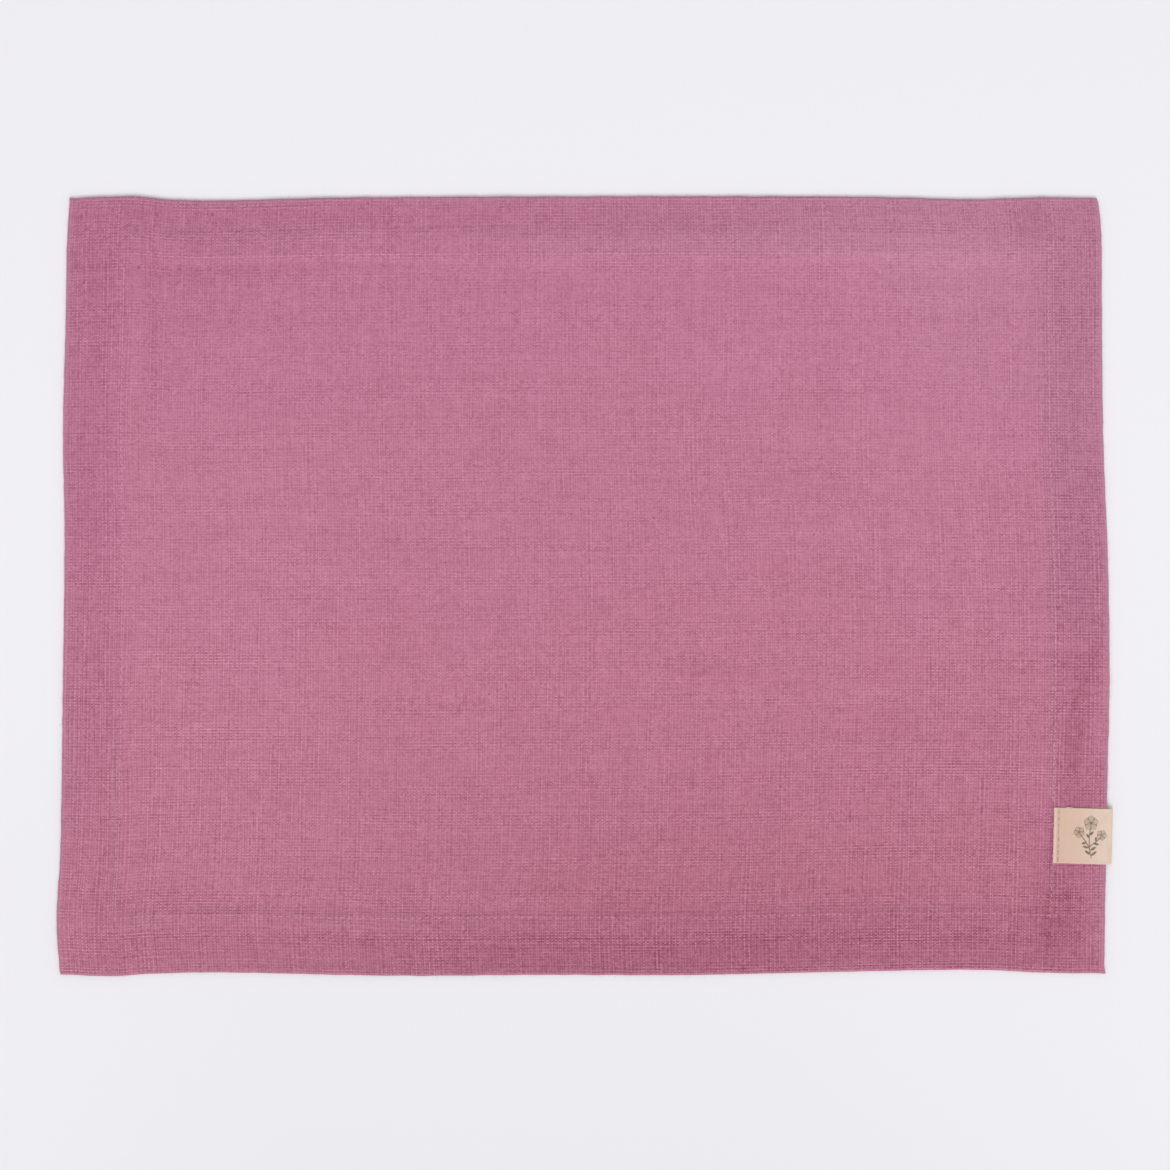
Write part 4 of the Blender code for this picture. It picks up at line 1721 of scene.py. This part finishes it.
def build_thread_group():
    """Colour and height of spun thread at a place in the object's own space."""
    tree, given, result = new_group(
        "spun_thread", {"Place": ("Vector",), "Dark": ("Color",), "Light": ("Color",)},
        {"Colour": "Color", "Height": "Float"},
    )
    fibres = noise(tree, *(part * FIBRE_FINENESS for part in parts_of(tree, given["Place"])))
    colour = blend_colour(tree, smooth_range(fibres, 0.3, 0.7), given["Dark"], given["Light"])
    plug(tree, colour, result["Colour"])
    plug(tree, fibres, result["Height"])
    return tree


thread_group = build_thread_group()
print("thread group of", len(thread_group.nodes), "nodes")

# %% [markdown]
# Three threads use it: the rose one of the linen, a natural one that holds the label, and the pale
# open ends of the ribbon. They are all matt, with a faint sheen of fibres.

# %% The three threads
THREAD_RELIEF = 0.05 * MM


def thread_material(name, light_colour, dark_colour):
    """A matt spun thread of two colours."""
    material, tree, shader = new_material(name)
    place = tree.nodes.new("ShaderNodeTexCoord").outputs["Object"]
    group = use_group(tree, thread_group, place, {"Dark": dark_colour, "Light": light_colour})
    plug(tree, group.outputs["Colour"], shader.inputs["Base Color"])
    shader.inputs["Roughness"].default_value = 0.8
    shader.inputs["Sheen Weight"].default_value = 0.15
    plug(tree, bump_from(tree, group.outputs["Height"], THREAD_RELIEF), shader.inputs["Normal"])
    return material


rose_thread = thread_material("rose thread", (0.76, 0.40, 0.50, 1), (0.50, 0.19, 0.27, 1))
natural_thread = thread_material("natural thread", (0.58, 0.44, 0.36, 1), (0.36, 0.27, 0.21, 1))
pale_thread = thread_material("pale thread", (0.93, 0.78, 0.74, 1), (0.78, 0.58, 0.54, 1))
for piece, thread in (
    (hem_stitches, rose_thread), (loose_fibres, rose_thread),
    (label_stitches, natural_thread), (frayed_end, pale_thread),
):
    piece.data.materials.append(thread)
    print(piece.name, "in", thread.name)

# %% [markdown]
# ## The ribbon's finish
#
# The ribbon is a close, fine cotton weave of a natural colour, a little paler where it bends over
# the hem. It uses the same weave group as the linen, with finer pitches. Its cut end is paler too,
# because the fibres stand open there, and the ink sits on the threads' tops and leaves the pores.

# %% The ribbon material
RIBBON_COLOUR = (0.683, 0.478, 0.364, 1)
RIBBON_LIGHT = (0.746, 0.592, 0.476, 1)
RIBBON_PINK = (0.705, 0.470, 0.385, 1)
RIBBON_RAW = (0.80, 0.54, 0.50, 1)
INK = (0.115, 0.083, 0.058, 1)
RIBBON_PITCHES = (0.42 * MM, 0.34 * MM)
RIBBON_RELIEF = 0.08 * MM


def ribbon_material():
    """Fine plain weave with a printed sprig, paler at the bend and at the cut end."""
    material, tree, shader = new_material("ribbon")
    u, v, weave = weave_nodes(tree, *RIBBON_PITCHES, 0.5, 0.4)
    colour = blend_colour(tree, smooth_range(u, 4 * MM, 27 * MM), RIBBON_COLOUR, RIBBON_LIGHT)
    blush = smooth_range(noise(tree, u * 350, v * 90, 33.0), 0.45, 0.75)
    colour = blend_colour(tree, blush * 0.5, colour, RIBBON_PINK)
    colour = blend_colour(tree, attribute_field(tree, "raw") * 0.95, colour, RIBBON_RAW)
    printed = attribute_field(tree, "ink") * (0.86 - weave["Pore"] * 0.25 + weave["Tone"] * 0.2)
    colour = blend_colour(tree, printed, colour, INK)
    # pores are painted darker as shade, and the sewing's dents too
    light = 1 + weave["Tone"] * 0.06 + weave["Checks"] * 0.06 - weave["Pore"] * 0.10
    light = light - attribute_field(tree, "stitch_shade") * 0.13
    colour = blend_colour(tree, 1.0, colour, vector_of(tree, light, light, light), "MULTIPLY")
    plug(tree, colour, shader.inputs["Base Color"])
    shader.inputs["Roughness"].default_value = 0.75
    shader.inputs["Sheen Weight"].default_value = 0.08
    plug(tree, bump_from(tree, weave["Height"], RIBBON_RELIEF, 0.7), shader.inputs["Normal"])
    return material


label.data.materials.append(ribbon_material())
print("ribbon of", len(label.data.materials[0].node_tree.nodes), "nodes")

# %% [markdown]
# ## The floor and the card
#
# The floor is a plain painted board, pale and matt, with nothing on it that would draw the eye. The
# card is near black, so it takes light away and sends none back.

# %% Plain finishes
def plain_finish(board, name, colour, roughness):
    """One matt colour for a piece of the stage."""
    material, _, shader = new_material(name)
    shader.inputs["Base Color"].default_value = colour
    shader.inputs["Roughness"].default_value = roughness
    board.data.materials.append(material)
    print(name, "finished")


plain_finish(floor, "pale floor", (0.84, 0.835, 0.866, 1), 0.9)
plain_finish(card, "dark card", (0.03, 0.03, 0.03, 1), 0.5)
